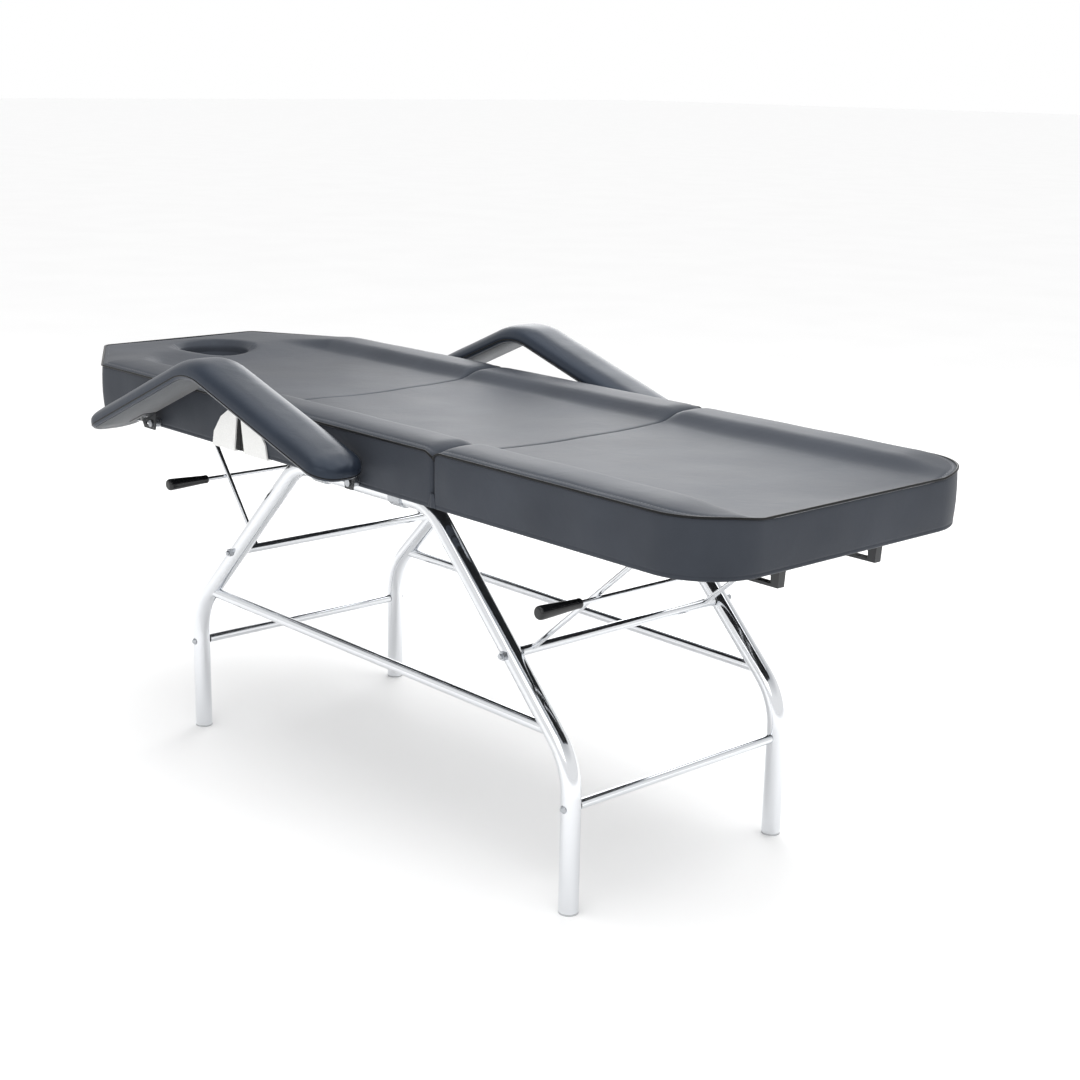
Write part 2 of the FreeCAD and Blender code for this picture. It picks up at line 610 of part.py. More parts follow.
def bracket(name, place, side, rear):
    """A hanging plate with a bore or a slot for its stud, and a flange under the armrest's core."""
    slope = "tail_slope" if rear else "-nose_slope"

    def under(across):
        return f"crest_height - abs({across} - crest_place) * tan(abs({slope}))"
    travel = "slot_travel" if rear else "0"
    left = f"{place} - bracket_half - {travel}"
    right = f"{place} + bracket_half"
    low_end = "stud_height - bracket_drop"
    corners = [(left, under(left)), (f"{place} - bracket_foot - {travel}", low_end),
               (f"{place} + bracket_foot", low_end), (right, under(right))]
    start = edge_of(size("bracket_inner"), "bracket_thick", side)
    plate = slab(name + "_plate", "XZ_Plane", corners, "bracket_thick", Vector(0, start, 0))
    turn = Rotation(ACROSS, -size(slope))
    along = turn.multVec(ALONG)
    inward = turn.multVec(UP)
    corner = Vector(size(left), 0, size(under(left))) - inward * size("flange_thick")
    corner.y = size("bracket_inner") if side > 0 else -size("bracket_inner + flange_wide")
    long = f"(2 * bracket_half + {travel}) / cos({slope})"
    flange = block(name + "_flange", long, "flange_wide", "flange_thick", corner, turn)
    outward = Vector(0, side, 0)
    radius = "stud_dia / 2 + slot_play" if rear else "stud_dia / 2 + fit"
    bore_start = Vector(size(place), side * size("bracket_inner - spare"), size("stud_height"))
    bore_deep = "bracket_thick + 2 * spare"
    tools = [rod(name + "_bore", radius, bore_deep, bore_start, outward)]
    if rear:
        tools.append(rod(name + "_bore_end", radius, bore_deep,
                         bore_start - ALONG * size("slot_travel"), outward))
        slot_corner = Vector(bore_start.x - size("slot_travel"), 0, size(f"stud_height - ({radius})"))
        slot_corner.y = bore_start.y if side > 0 else bore_start.y - size(bore_deep)
        tools.append(block(name + "_slot", "slot_travel", bore_deep, f"2 * ({radius})", slot_corner))
    screws = []
    middle = side * size("bracket_inner + flange_screw")
    for number, share in enumerate(BRACKET_SCREW_SHARES):
        spot = spread(corner, along, size(long) * share)
        spot.y = middle
        screws.append(wood_screw(f"{name}_screw{number}", spot, inward, "flange_thick"))
    whole = fused(name + "_solid", [plate, flange])
    return drilled(name, drilled(name + "_bored", whole, tools), screws), screws


# ---------------------------------------------------------------- the bed

SIDES = ((1, "left"), (-1, "right"))


def build_frame():
    ends = ((-1, "head"), (1, "foot"))
    cross_bolts = {}
    pivot_bolts = {}
    for end, end_word in ends:
        for side, word in SIDES:
            cross_bolts[end, side] = cross_bolt(f"cross_bolt_{end_word}_{word}", end, side)
            pivot_bolts[end, side] = pivot_bolt(f"pivot_bolt_{end_word}_{word}", end, side)
    for side, word in SIDES:
        both = list(cross_bolts.items()) + list(pivot_bolts.items())
        bolts = [bolt for (_, at), bolt in both if at == side]
        tube = bent_tube(f"side_tube_{word}", side)
        node(f"side_frame_{word}", drilled(f"side_frame_{word}", tube, bolts))
        node(f"side_brace_{word}", side_brace(f"side_brace_{word}", side))
    for end, end_word in ends:
        bolts = [bolt for (at, _), bolt in cross_bolts.items() if at == end]
        node(f"lower_crossbar_{end_word}", lower_cross_tube(f"lower_crossbar_{end_word}", end, bolts))
    node("crossbar_bolts", together("crossbar_bolts", list(cross_bolts.values())))
    node("prop_pivot_bolts", together("prop_pivot_bolts", list(pivot_bolts.values())))
    caps = [leg_cap(f"leg_cap_{end_word}_{word}", end, side)
            for end, end_word in ends for side, word in SIDES]
    node("leg_caps", together("leg_caps", caps))


def build_clamps():
    clamps = []
    screws = []
    for along in (-size("clamp_place"), size("clamp_place")):
        for side, word in SIDES:
            name = f"rail_clamp_{word}_{'foot' if along > 0 else 'head'}"
            mine = []
            for hand in (-1, 1):
                across = side * size("frame_half") + hand * size("clamp_screw")
                spot = Vector(along, across, size("pad_bottom - clamp_thick"))
                mine.append(wood_screw(f"{name}_screw{hand + 1}", spot, UP, "clamp_thick"))
            clamps.append(drilled(name, rail_clamp(name + "_blank", along, side), mine))
            screws += mine
    node("rail_clamps", together("rail_clamps", clamps))
    node("rail_clamp_screws", together("rail_clamp_screws", screws))
    return screws


def plate_screws(label, end, side):
    """Two screws up through the turned-in foot of a hinge plate."""
    screws = []
    for number, reach in enumerate(("plate_screw_near", "plate_screw_far")):
        place = size(f"back_seam + {end} * {reach}")
        spot = Vector(place, side * size("pad_half - flange_wide / 2"), size("pad_bottom - flange_thick"))
        screws.append(wood_screw(f"{label}_{number}", spot, UP, "flange_thick"))
    return screws


def build_plates(section, end):
    lift = 0 if end > 0 else size("plate_thick + plate_gap")
    bore = "rivet_dia / 2" if end > 0 else "rivet_dia / 2 + fit"
    screws = []
    for side, word in SIDES:
        name = f"{section}_hinge_plate_{word}"
        mine = plate_screws(f"{section}_plate_screw_{word}", end, side)
        node(name, drilled(name, hinge_plate(name + "_blank", end, side, lift, bore), mine))
        screws += mine
    node(f"{section}_plate_screws", together(f"{section}_plate_screws", screws))
    return screws


def leaf_screws(label, end):
    screws = []
    for side, word in SIDES:
        for number, hand in enumerate((-1, 1)):
            across = side * size("hinge_place") + hand * size("leaf_screw_half")
            spot = Vector(size(f"leg_seam + {end} * leaf_screw_place"), across,
                          size("pad_bottom - leaf_thick"))
            screws.append(wood_screw(f"{label}_{word}{number}", spot, UP, "leaf_thick"))
    return screws


def build_leaves(section, end, first, last, bore):
    screws = leaf_screws(f"{section}_leaf_screw", end)
    leaves = [leaf(f"{section}_leaf_{word}", end, side, first, last, bore) for side, word in SIDES]
    pair = together(f"{section}_leaf_pair", leaves)
    node(f"{section}_hinge_leaves", drilled(f"{section}_hinge_leaves", pair, screws))
    node(f"{section}_leaf_screws", together(f"{section}_leaf_screws", screws))
    return screws


def build_seat():
    screws = build_clamps() + build_plates("seat", 1)
    outer = size("leaf_width / 2")
    split = size("knuckle_split")
    screws += build_leaves("seat", -1, (-outer, split), (-split, outer), "pin_dia / 2")
    pins = [hinge_pin(f"hinge_pin_{word}", side) for side, word in SIDES]
    node("hinge_pins", together("hinge_pins", pins))
    rivets = [hinge_rivet(f"hinge_rivet_{word}", side) for side, word in SIDES]
    node("backrest_hinge_rivets", together("backrest_hinge_rivets", rivets))
    studs = [stud(f"arm_pivot_stud_{word}", "nose_stud_place", side) for side, word in SIDES]
    node("armrest_pivot_studs", together("armrest_pivot_studs", studs))
    node("seat_board", drilled("seat_board", board("seat"), screws + studs))
    node("seat_cushion", cushion("seat"))


def rack_screws(label, near, far):
    """Countersunk screws down through the board into the tops of the rack's posts."""
    screws = []
    for side, word in SIDES:
        for number, place in enumerate((near, far)):
            name = f"{label}_{word}{number}"
            seat_height = size("pad_bottom + board_thick - rack_screw_sink")
            spot = Vector(size(place), side * size("rack_place"), seat_height)
            long = "board_thick - rack_screw_sink + rack_screw_in"
            shank = rod(name + "_shank", "screw_dia / 2", long, spot, -UP)
            head = rod(name + "_head", "screw_head / 2", "rack_screw_sink", spot, UP)
            screws.append(fused(name, [shank, head]))
    return screws


def build_racks(section, near, far, drop):
    screws = rack_screws(f"{section}_rack_screw", near, far)
    for side, word in SIDES:
        name = f"{section}_rack_{word}"
        node(name, drilled(name, rack(name + "_blank", side, near, far, drop), screws))
    node(f"{section}_rack_screws", together(f"{section}_rack_screws", screws))
    return screws


def build_backrest():
    screws = build_plates("backrest", -1)
    screws += build_racks("backrest", "back_rack_near", "back_rack_far", "back_rack_drop")
    studs = [stud(f"arm_slide_stud_{word}", "tail_stud_place", side) for side, word in SIDES]
    node("armrest_slide_studs", together("armrest_slide_studs", studs))
    node("backrest_board", drilled("backrest_board", board("backrest"), screws + studs))
    node("backrest_cushion", cushion("backrest"))


def build_leg_rest():
    middle = size("knuckle_split - knuckle_gap")
    screws = build_leaves("leg_rest", 1, (-middle,), (middle,), "pin_dia / 2 + fit")
    screws += build_racks("leg_rest", "leg_rack_near", "leg_rack_far", "leg_rack_drop")
    node("leg_rest_board", drilled("leg_rest_board", board("leg_rest"), screws))
    node("leg_rest_cushion", cushion("leg_rest"))


def build_armrests():
    for side, word in SIDES:
        label = f"armrest_{word}"
        tail, tail_screws = bracket(f"{label}_tail_bracket", "tail_stud_place", side, True)
        nose, nose_screws = bracket(f"{label}_nose_bracket", "nose_stud_place", side, False)
        screws = tail_screws + nose_screws
        node(f"{label}_tail_bracket", tail)
        node(f"{label}_nose_bracket", nose)
        node(f"{label}_screws", together(f"{label}_screws", screws))
        core = arm_layer(f"{label}_core_blank", "0", "core_thick", "core_inset", side)
        node(f"{label}_core", drilled(f"{label}_core", core, screws))
        pad = arm_layer(f"{label}_pad", "core_thick", "arm_thick", "0", side)
        round_edges(pad, "crest_round", over_the_crest)
        node(f"{label}_pad", pad)


def check():
    """Stop when any object of the document failed or any sub-part has no sound shape."""
    doc.recompute()
    failed = [thing.Name for thing in doc.Objects if "Invalid" in thing.State or "Error" in thing.State]
    unsound = [thing.Label for thing in nodes if thing.Shape.isNull() or not thing.Shape.isValid()]
    if failed or unsound:
        raise RuntimeError(f"failed: {failed}, unsound: {unsound}")


def write():
    os.makedirs("parts", exist_ok=True)
    under_the_middle = Vector(-size("(head_end + foot_end) / 2"), 0, 0)
    for thing in nodes:
        thing.Shape.translated(under_the_middle).exportStep(f"parts/{thing.Label}.step")
        print(f"{thing.Label}: {len(thing.Shape.Solids)} solids, {thing.Shape.Volume / 1000:.1f} cm3")


build_frame()
build_seat()
build_backrest()
build_leg_rest()
prop_frame("head_prop", -1, "head_bar_place", "head_bar_height", "head_grip_up")
prop_frame("foot_prop", 1, "foot_bar_place", "foot_bar_height", "foot_grip_up")
build_armrests()
check()
write()
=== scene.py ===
import json
import math

import bmesh
import bpy
import numpy as np
from bpy.props import FloatProperty, FloatVectorProperty, IntProperty, PointerProperty
from mathutils import Matrix, Vector, noise
from mathutils.bvhtree import BVHTree


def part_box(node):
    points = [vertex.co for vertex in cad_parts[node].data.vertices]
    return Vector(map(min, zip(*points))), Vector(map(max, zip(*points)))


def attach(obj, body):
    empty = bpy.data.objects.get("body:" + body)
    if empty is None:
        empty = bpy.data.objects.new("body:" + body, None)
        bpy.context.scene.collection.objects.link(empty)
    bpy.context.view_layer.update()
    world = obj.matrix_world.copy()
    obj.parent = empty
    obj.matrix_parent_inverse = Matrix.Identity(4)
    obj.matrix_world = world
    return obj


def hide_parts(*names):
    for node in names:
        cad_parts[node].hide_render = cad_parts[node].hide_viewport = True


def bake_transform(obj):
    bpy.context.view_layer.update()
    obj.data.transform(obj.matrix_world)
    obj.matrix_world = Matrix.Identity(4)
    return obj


bl_info = {
    "name": "Facial Treatment Bed",
    "version": (1, 0, 0),
    "blender": (4, 5, 0),
    "location": "3D View > Sidebar > Treatment Bed",
    "description": "Upholstery, finishes and studio of a three-section treatment bed on a tube frame",
    "category": "Object",
}

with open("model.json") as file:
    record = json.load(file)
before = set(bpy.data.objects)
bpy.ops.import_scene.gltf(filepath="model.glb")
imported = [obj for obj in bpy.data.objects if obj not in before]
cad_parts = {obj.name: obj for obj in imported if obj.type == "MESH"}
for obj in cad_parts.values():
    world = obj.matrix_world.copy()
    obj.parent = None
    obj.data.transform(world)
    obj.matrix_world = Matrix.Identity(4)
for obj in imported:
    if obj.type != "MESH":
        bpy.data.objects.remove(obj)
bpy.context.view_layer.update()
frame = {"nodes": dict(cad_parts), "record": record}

# -------- places taken from the frame

SEAT_LOW, SEAT_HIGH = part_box("seat_cushion")
BACK_LOW, BACK_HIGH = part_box("backrest_cushion")
LEGS_LOW, LEGS_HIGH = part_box("leg_rest_cushion")
HALF = SEAT_HIGH.y
BACK_SEAM = (SEAT_LOW.x + BACK_HIGH.x) / 2
LEG_SEAM = (SEAT_HIGH.x + LEGS_LOW.x) / 2
LEGS_MIDDLE = Vector((sum(corner.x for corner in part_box("side_frame_left")) / 2, 0, 0))
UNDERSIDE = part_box("seat_board")[0].z
SIDES = (("left", 1), ("right", -1))
HINGE_UP = sum(corner.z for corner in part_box("backrest_hinge_rivets")) / 2

# the head end narrows from the shoulder
TAPER_LONG = 0.222
HEAD_HALF = 0.178
SHOULDER = BACK_LOW.x + TAPER_LONG
FACE_HOLE = Vector((BACK_LOW.x + 0.130, 0.0))
FACE_HOLE_RADIUS = 0.074

# the upper cover
SEAM_GAP = 0.0004
SEAM_CORNER = 0.008
SHOULDER_ROUND = 0.030
HEAD_ROUND = 0.022
FOOT_ROUND = 0.105
RIM = 0.693
SEAM_TURN = 0.018
DIP_START = 0.040
DIP_REACH = 0.100
FOOT_FADE = 0.55
FOOT_FADE_REACH = 0.120
# above the back hinge each section keeps clear of half the backrest's rise
FREE_SLOPE = 2.3
COVER_UNDER_HINGE = 0.0004
PIPING_UNDER_HINGE = 0.0036
PIPING_OUT = 0.0012
PIPING_UP = 0.0006
ARC_STEPS = 6
FOOT_ARC_STEPS = 18
ROW_STEP = 0.008
BACK_ROW_STEP = 0.007
COLUMN_STEP = 0.012


def linear(hex_colour):
    """An sRGB hex colour as linear red, green, blue and alpha."""
    channels = [int(hex_colour[i:i + 2], 16) / 255 for i in (1, 3, 5)]
    curve = [c / 12.92 if c <= 0.04045 else ((c + 0.055) / 1.055) ** 2.4 for c in channels]
    return (*curve, 1.0)


# -------- sizes and colours

def length(name, description, default, low=0.0, high=1.0):
    return FloatProperty(name=name, description=description, default=default, min=low, max=high,
                         subtype="DISTANCE", unit="LENGTH", precision=4)


def colour(name, description, default):
    return FloatVectorProperty(name=name, description=description, default=linear(default), size=4,
                               min=0.0, max=1.0, subtype="COLOR")


class BedSizes(bpy.types.PropertyGroup):
    """Sizes of the upholstery that a maker may change."""
    crown: length("Bolster crown", "Height of the side bolsters above the floor", 0.7035)
    bolster: length("Bolster width", "Width of each raised bolster", 0.117)
    bolster_top: length("Bolster top", "Width of the bolster before it falls to the dish", 0.074)
    dish_edge: length("Dish edge", "Height of the dish beside the bolster", 0.6835)
    dish_middle: length("Dish middle", "Height of the dish on the centre line", 0.679)
    foot_dip: length("Foot dip", "How far the piping dips in the middle of the foot end", 0.009)
    piping: length("Piping radius", "Radius of the welt along the edges", 0.0020)
    stitch: length("Stitch length", "Length of one topstitch", 0.0042)
    stitch_step: length("Stitch step", "Distance from one topstitch to the next", 0.0065)
    stitch_inset: length("Stitch inset", "Distance of the topstitch from the edge", 0.0085)
    arm_crown: length("Armrest thickness", "Thickness of an armrest at its middle", 0.032)
    pleats: IntProperty(name="Pleats", description="Pleats in each hinge fold", default=4, min=1, max=12)


class BedColours(bpy.types.PropertyGroup):
    """Colours of the finishes."""
    leather: colour("Upholstery", "Base colour of the PVC leather", "#36393f")
    arm_leather: colour("Armrest", "Base colour of the armrest leather", "#1d232d")
    piping: colour("Piping", "Colour of the welt", "#0a0b0d")
    thread: colour("Thread", "Colour of the sewing thread", "#5c6067")
    dust_cover: colour("Dust cover", "Colour of the cloth under the boards", "#17181a")
    lining: colour("Lining", "Colour of the cloth under the armrests", "#5a5d61")
    chrome: colour("Chrome", "Colour of the plated tube", "#dfe1e4")
    zinc: colour("Zinc", "Colour of the bolts and screws", "#b9bcc0")
    plate: colour("Hinge plate", "Colour of the painted plates", "#f0f0ee")
    rack: colour("Rack", "Colour of the powder coat", "#2b2d30")
    grip: colour("Grip", "Colour of the handle grips", "#101113")
    cap: colour("Foot cap", "Colour of the foot caps", "#b4b6b8")
    wood: colour("Plywood", "Colour of the boards", "#b8946a")
    floor: colour("Floor", "Colour of the studio floor", "#fdfdfd")


# -------- node and material helpers

def add_node(tree, kind, settings=None, links=None, feeds=None):
    """One node: its settings, the sockets that feed its inputs, and the input that it feeds itself."""
    made = tree.nodes.new("ShaderNode" + kind)
    for name, value in (settings or {}).items():
        if name in made.inputs:
            made.inputs[name].default_value = value
        else:
            setattr(made, name, value)
    for name, source in (links or {}).items():
        tree.links.new(source, made.inputs[name])
    if feeds:
        tree.links.new(made.outputs[0], feeds)
    return made


def new_material(name):
    """A material with its shader, its tree and Object coordinates."""
    material = bpy.data.materials.new(name)
    material.use_nodes = True
    tree = material.node_tree
    shader = tree.nodes["Principled BSDF"]
    place = add_node(tree, "TexCoord").outputs["Object"]
    return material, tree, shader, place


def set_sockets(shader, **values):
    names = {"base": "Base Color", "metal": "Metallic", "rough": "Roughness", "ior": "IOR",
             "specular": "Specular IOR Level", "tint": "Specular Tint", "sheen": "Sheen Weight"}
    for key, value in values.items():
        shader.inputs[names[key]].default_value = value


def shades(tree, factor, first, second, low=0.35, high=0.65):
    """A colour that runs from the first to the second between two levels of a factor."""
    ramp = add_node(tree, "ValToRGB", links={"Fac": factor})
    ramp.color_ramp.elements[0].position = low
    ramp.color_ramp.elements[0].color = first
    ramp.color_ramp.elements[1].position = high
    ramp.color_ramp.elements[1].color = second
    return ramp.outputs["Color"]


def tinted(base, share):
    return tuple(min(1.0, channel * share) for channel in base[:3]) + (1.0,)


def patterned(name, kind, pattern, output, relief=None, tones=None, spread=(0.35, 0.65), gloss=None):
    """A material whose one pattern drives its relief, its tones and its gloss, as far as they are given."""
    material, tree, shader, place = new_material(name)
    level = add_node(tree, kind, pattern, {"Vector": place}).outputs[output]
    if relief:
        add_node(tree, "Bump", {"Strength": relief[0], "Distance": relief[1]},
                 {"Height": level}, shader.inputs["Normal"])
    if tones:
        tree.links.new(shades(tree, level, *tones, *spread), shader.inputs["Base Color"])
    if gloss:
        add_node(tree, "MapRange", {"To Min": gloss[0], "To Max": gloss[1]},
                 {"Value": level}, shader.inputs["Roughness"])
    return material, shader


def leather(name, base, grain, gloss, shine):
    """PVC-coated cloth, calendered with a fine pebble grain: a soft broad sheen and tiny glints."""
    material, tree, shader, place = new_material(name)
    pebbles = add_node(tree, "TexVoronoi",
                       {"feature": "SMOOTH_F1", "Scale": 1 / grain, "Smoothness": 0.7}, {"Vector": place})
    creases = add_node(tree, "TexNoise", {"Scale": 26.0, "Detail": 5.0, "Distortion": 0.9},
                       {"Vector": place})
    handling = add_node(tree, "TexNoise", {"Scale": 5.0, "Detail": 3.0}, {"Vector": place})
    coarse = add_node(tree, "Bump", {"Strength": 0.26, "Distance": 0.0018},
                      {"Height": creases.outputs["Fac"]})
    add_node(tree, "Bump", {"Strength": 0.22, "Distance": 0.0003},
             {"Height": pebbles.outputs["Distance"], "Normal": coarse.outputs["Normal"]},
             shader.inputs["Normal"])
    tree.links.new(shades(tree, handling.outputs["Fac"], tinted(base, 0.86), tinted(base, 1.16)),
                   shader.inputs["Base Color"])
    add_node(tree, "MapRange", {"To Min": gloss - 0.05, "To Max": gloss + 0.06},
             {"Value": handling.outputs["Fac"]}, shader.inputs["Roughness"])
    set_sockets(shader, specular=shine, ior=1.5, tint=linear("#d3e0f2"))
    return material


# pebbles of 1.1 mm: the real grain is half that, and wouldn't show
GRAIN = 0.0011


def upholstery_leather(colours):
    return leather("black_pvc_leather", colours.leather, GRAIN, 0.46, 0.20)


def armrest_leather(colours):
    return leather("navy_black_pvc_leather", colours.arm_leather, GRAIN, 0.36, 0.45)


def piping_vinyl(colours):
    """Thin unsupported PVC drawn over a cord: smoother and glossier than the cover."""
    material, shader = patterned("black_pvc_piping", "TexNoise", {"Scale": 180.0, "Detail": 2.0},
                                 "Fac", relief=(0.3, 0.0004), gloss=(0.3, 0.44))
    set_sockets(shader, base=colours.piping, specular=0.2)
    return material


def sewing_thread(colours):
    """Bonded polyester thread: twisted, faintly shiny plies."""
    material, shader = patterned("bonded_polyester_thread", "TexWave",
                                 {"Scale": 700.0, "Distortion": 1.0}, "Fac",
                                 tones=(tinted(colours.thread, 0.7), colours.thread))
    set_sockets(shader, rough=0.55, sheen=0.3)
    return material


def lining_cloth(colours):
    """Woven polyester backing cloth under the armrests: matt, with a 1.5 mm weave."""
    material, tree, shader, place = new_material("woven_polyester_lining")
    weave = 0.0015
    warp, weft = [add_node(tree, "TexWave", {"Scale": 1 / weave / 6, "bands_direction": way},
                           {"Vector": place}) for way in ("X", "Y")]
    cross = add_node(tree, "Math", {"operation": "MULTIPLY"},
                     {0: warp.outputs["Fac"], 1: weft.outputs["Fac"]}).outputs["Value"]
    add_node(tree, "Bump", {"Strength": 0.5, "Distance": 0.0004}, {"Height": cross},
             shader.inputs["Normal"])
    tree.links.new(shades(tree, cross, tinted(colours.lining, 0.72), colours.lining, 0.0, 0.5),
                   shader.inputs["Base Color"])
    set_sockets(shader, rough=0.85, sheen=0.2)
    return material


def dust_cover(colours):
    """Black spunbond cloth stapled under the boards: matt, with a 2 mm bonded dimple."""
    dimple = 0.002
    material, shader = patterned("black_spunbond_dust_cover", "TexVoronoi",
                                 {"Scale": 1 / dimple, "Randomness": 0.2}, "Distance", relief=(0.4, 0.0004),
                                 tones=(colours.dust_cover, tinted(colours.dust_cover, 1.6)),
                                 spread=(0.0, 1.0))
    set_sockets(shader, rough=0.9, specular=0.2)
    return material


def chrome_plate(colours):
    """Bright chrome over polished steel tube: a near mirror with faint drawing marks."""
    material, tree, shader, place = new_material("chrome_plated_steel")
    marks = add_node(tree, "TexNoise", {"Scale": 220.0, "Detail": 4.0}, {"Vector": place})
    haze = add_node(tree, "TexNoise", {"Scale": 14.0, "Detail": 3.0}, {"Vector": place})
    add_node(tree, "Bump", {"Strength": 0.02, "Distance": 0.0002},
             {"Height": marks.outputs["Fac"]}, shader.inputs["Normal"])
    add_node(tree, "MapRange", {"To Min": 0.05, "To Max": 0.13},
             {"Value": haze.outputs["Fac"]}, shader.inputs["Roughness"])
    set_sockets(shader, base=colours.chrome, metal=1.0)
    return material


def zinc_plate(colours):
    """Zinc-plated fasteners: bright but hazy metal, with a 2 mm spangle."""
    spangle = 0.002
    material, shader = patterned("zinc_plated_steel", "TexVoronoi", {"Scale": 1 / spangle},
                                 "Distance", tones=(tinted(colours.zinc, 0.8), colours.zinc),
                                 spread=(0.0, 1.0), gloss=(0.22, 0.38))
    set_sockets(shader, metal=1.0)
    return material


def painted_steel(name, base, peel, low, high):
    """Powder coat over steel: an even skin with slight orange peel."""
    return patterned(name, "TexNoise", {"Scale": 1 / peel, "Detail": 2.0}, "Fac",
                     relief=(0.12, 0.0003), tones=(tinted(base, 0.93), base), gloss=(low, high))[0]


def moulded_plastic(name, base, low, high):
    """Moulded polymer: smooth, with faint flow marks and handling haze."""
    material, shader = patterned(name, "TexNoise",
                                 {"Scale": 60.0, "Detail": 3.0, "Distortion": 1.2}, "Fac",
                                 relief=(0.08, 0.0003), tones=(tinted(base, 0.85), base), gloss=(low, high))
    set_sockets(shader, specular=0.5, ior=1.49)
    return material


def plywood(colours):
    """Birch plywood: long pale grain on the faces and plies in the edge drawn as a faint relief."""
    material, tree, shader, place = new_material("birch_plywood")
    ply = 0.0025
    stretch = add_node(tree, "Mapping", {"Scale": (2.0, 26.0, 1.0)}, {"Vector": place})
    grain = add_node(tree, "TexNoise", {"Scale": 3.0, "Detail": 7.0, "Distortion": 0.6},
                     {"Vector": stretch.outputs["Vector"]})
    height = add_node(tree, "SeparateXYZ", links={"Vector": place})
    layer = add_node(tree, "Math", {"operation": "PINGPONG"}, {0: height.outputs["Z"]})
    layer.inputs[1].default_value = ply
    plies = add_node(tree, "MapRange", {"To Min": 0.0, "To Max": 1.0},
                     {"Value": layer.outputs["Value"]})
    tree.links.new(shades(tree, grain.outputs["Fac"], tinted(colours.wood, 0.72), colours.wood),
                   shader.inputs["Base Color"])
    bump = add_node(tree, "Bump", {"Strength": 0.15, "Distance": 0.0004},
                    {"Height": grain.outputs["Fac"]})
    add_node(tree, "Bump", {"Strength": 0.1, "Distance": 0.0002},
             {"Height": plies.outputs["Result"], "Normal": bump.outputs["Normal"]}, shader.inputs["Normal"])
    add_node(tree, "MapRange", {"To Min": 0.5, "To Max": 0.7},
             {"Value": grain.outputs["Fac"]}, shader.inputs["Roughness"])
    return material


def studio_floor(colours):
    """Painted board: matt and nearly white."""
    material, shader = patterned("matt_white_studio_floor", "TexNoise",
                                 {"Scale": 2.0, "Detail": 2.0}, "Fac",
                                 tones=(tinted(colours.floor, 0.985), colours.floor))
    set_sockets(shader, rough=0.9, specular=0.2)
    return material


def finish_of(name):
    """The named finish, made once."""
    makers = {
        "leather": upholstery_leather, "arm_leather": armrest_leather, "piping": piping_vinyl,
        "thread": sewing_thread, "lining": lining_cloth, "dust_cover": dust_cover,
        "chrome": chrome_plate, "zinc": zinc_plate,
        "plate": lambda c: painted_steel("white_powder_coated_steel", c.plate, 0.002, 0.28, 0.4),
        "rack": lambda c: painted_steel("black_powder_coated_steel", c.rack, 0.0016, 0.34, 0.5),
        "grip": lambda c: moulded_plastic("black_pvc_grip", c.grip, 0.16, 0.28),
        "cap": lambda c: moulded_plastic("grey_polyethylene", c.cap, 0.4, 0.55),
        "wood": plywood, "floor": studio_floor,
    }
    found = bpy.data.materials.get(MADE.get(name, ""))
    if found is None:
        found = makers[name](bpy.context.scene.bed_colours)
        MADE[name] = found.name
    return found


MADE = {}


# -------- plan outlines

def rounded(corners, steps):
    """A run of corners (along, across, radius), each corner replaced by its arc."""
    points = []
    for index in range(1, len(corners) - 1):
        along, across, radius = corners[index]
        here = Vector((along, across))
        before = (Vector(corners[index - 1][:2]) - here).normalized()
        after = (Vector(corners[index + 1][:2]) - here).normalized()
        half = before.angle(after) / 2
        centre = here + (before + after).normalized() * radius / math.sin(half)
        reach = radius / math.tan(half)
        first = here + before * reach - centre
        last = here + after * reach - centre
        start = math.atan2(first.y, first.x)
        turn = math.remainder(math.atan2(last.y, last.x) - start, math.tau)
        for step in range(steps[index - 1] + 1):
            angle = start + turn * step / steps[index - 1]
            points.append(centre + Vector((math.cos(angle), math.sin(angle))) * radius)
    return points


def filled(points, step):
    """The same run with more points where two lie further apart than the step."""
    run = [points[0]]
    for start, end in zip(points, points[1:]):
        parts = max(1, math.ceil((end - start).length / step))
        run += [start.lerp(end, part / parts) for part in range(1, parts + 1)]
    return run


def section_rows(name):
    """Half the plan outline of a section, from one end to the other: along, and half width."""
    if name == "seat":
        low, high = BACK_SEAM + SEAM_GAP, LEG_SEAM - SEAM_GAP
        corners = [(low, 0, 0), (low, HALF, SEAM_CORNER), (high, HALF, SEAM_CORNER), (high, 0, 0)]
        return filled(rounded(corners, (ARC_STEPS, ARC_STEPS)), ROW_STEP)
    if name == "backrest":
        high = BACK_SEAM - SEAM_GAP
        corners = [(BACK_LOW.x, 0, 0), (BACK_LOW.x, HEAD_HALF, HEAD_ROUND),
                   (SHOULDER, HALF, SHOULDER_ROUND), (high, HALF, SEAM_CORNER), (high, 0, 0)]
        return filled(rounded(corners, (ARC_STEPS, ARC_STEPS, ARC_STEPS)), BACK_ROW_STEP)
    low = LEG_SEAM + SEAM_GAP
    corners = [(low, 0, 0), (low, HALF, SEAM_CORNER), (LEGS_HIGH.x, HALF, FOOT_ROUND), (LEGS_HIGH.x, 0, 0)]
    return filled(rounded(corners, (ARC_STEPS, FOOT_ARC_STEPS)), ROW_STEP)


def edge_spacing(half, near, middle):
    """Shares of the half width from -1 to 1, close together near both edges."""
    marks = [gap for gap in near if gap < half]
    count = max(1, round((half - marks[-1]) / middle))
    marks += [marks[-1] + (half - marks[-1]) * part / count for part in range(1, count)]
    low = [-1 + mark / half for mark in marks]
    return low + [0.0] + [-share for share in reversed(low)]


NEAR_EDGE = (0, 0.0008, 0.002, 0.004, 0.006, 0.0075, 0.0095, 0.0115, 0.015, 0.020, 0.027, 0.036, 0.046,
             0.056, 0.066, 0.074, 0.082, 0.090, 0.098, 0.106, 0.114, 0.122, 0.132)


# -------- heights of the upholstery

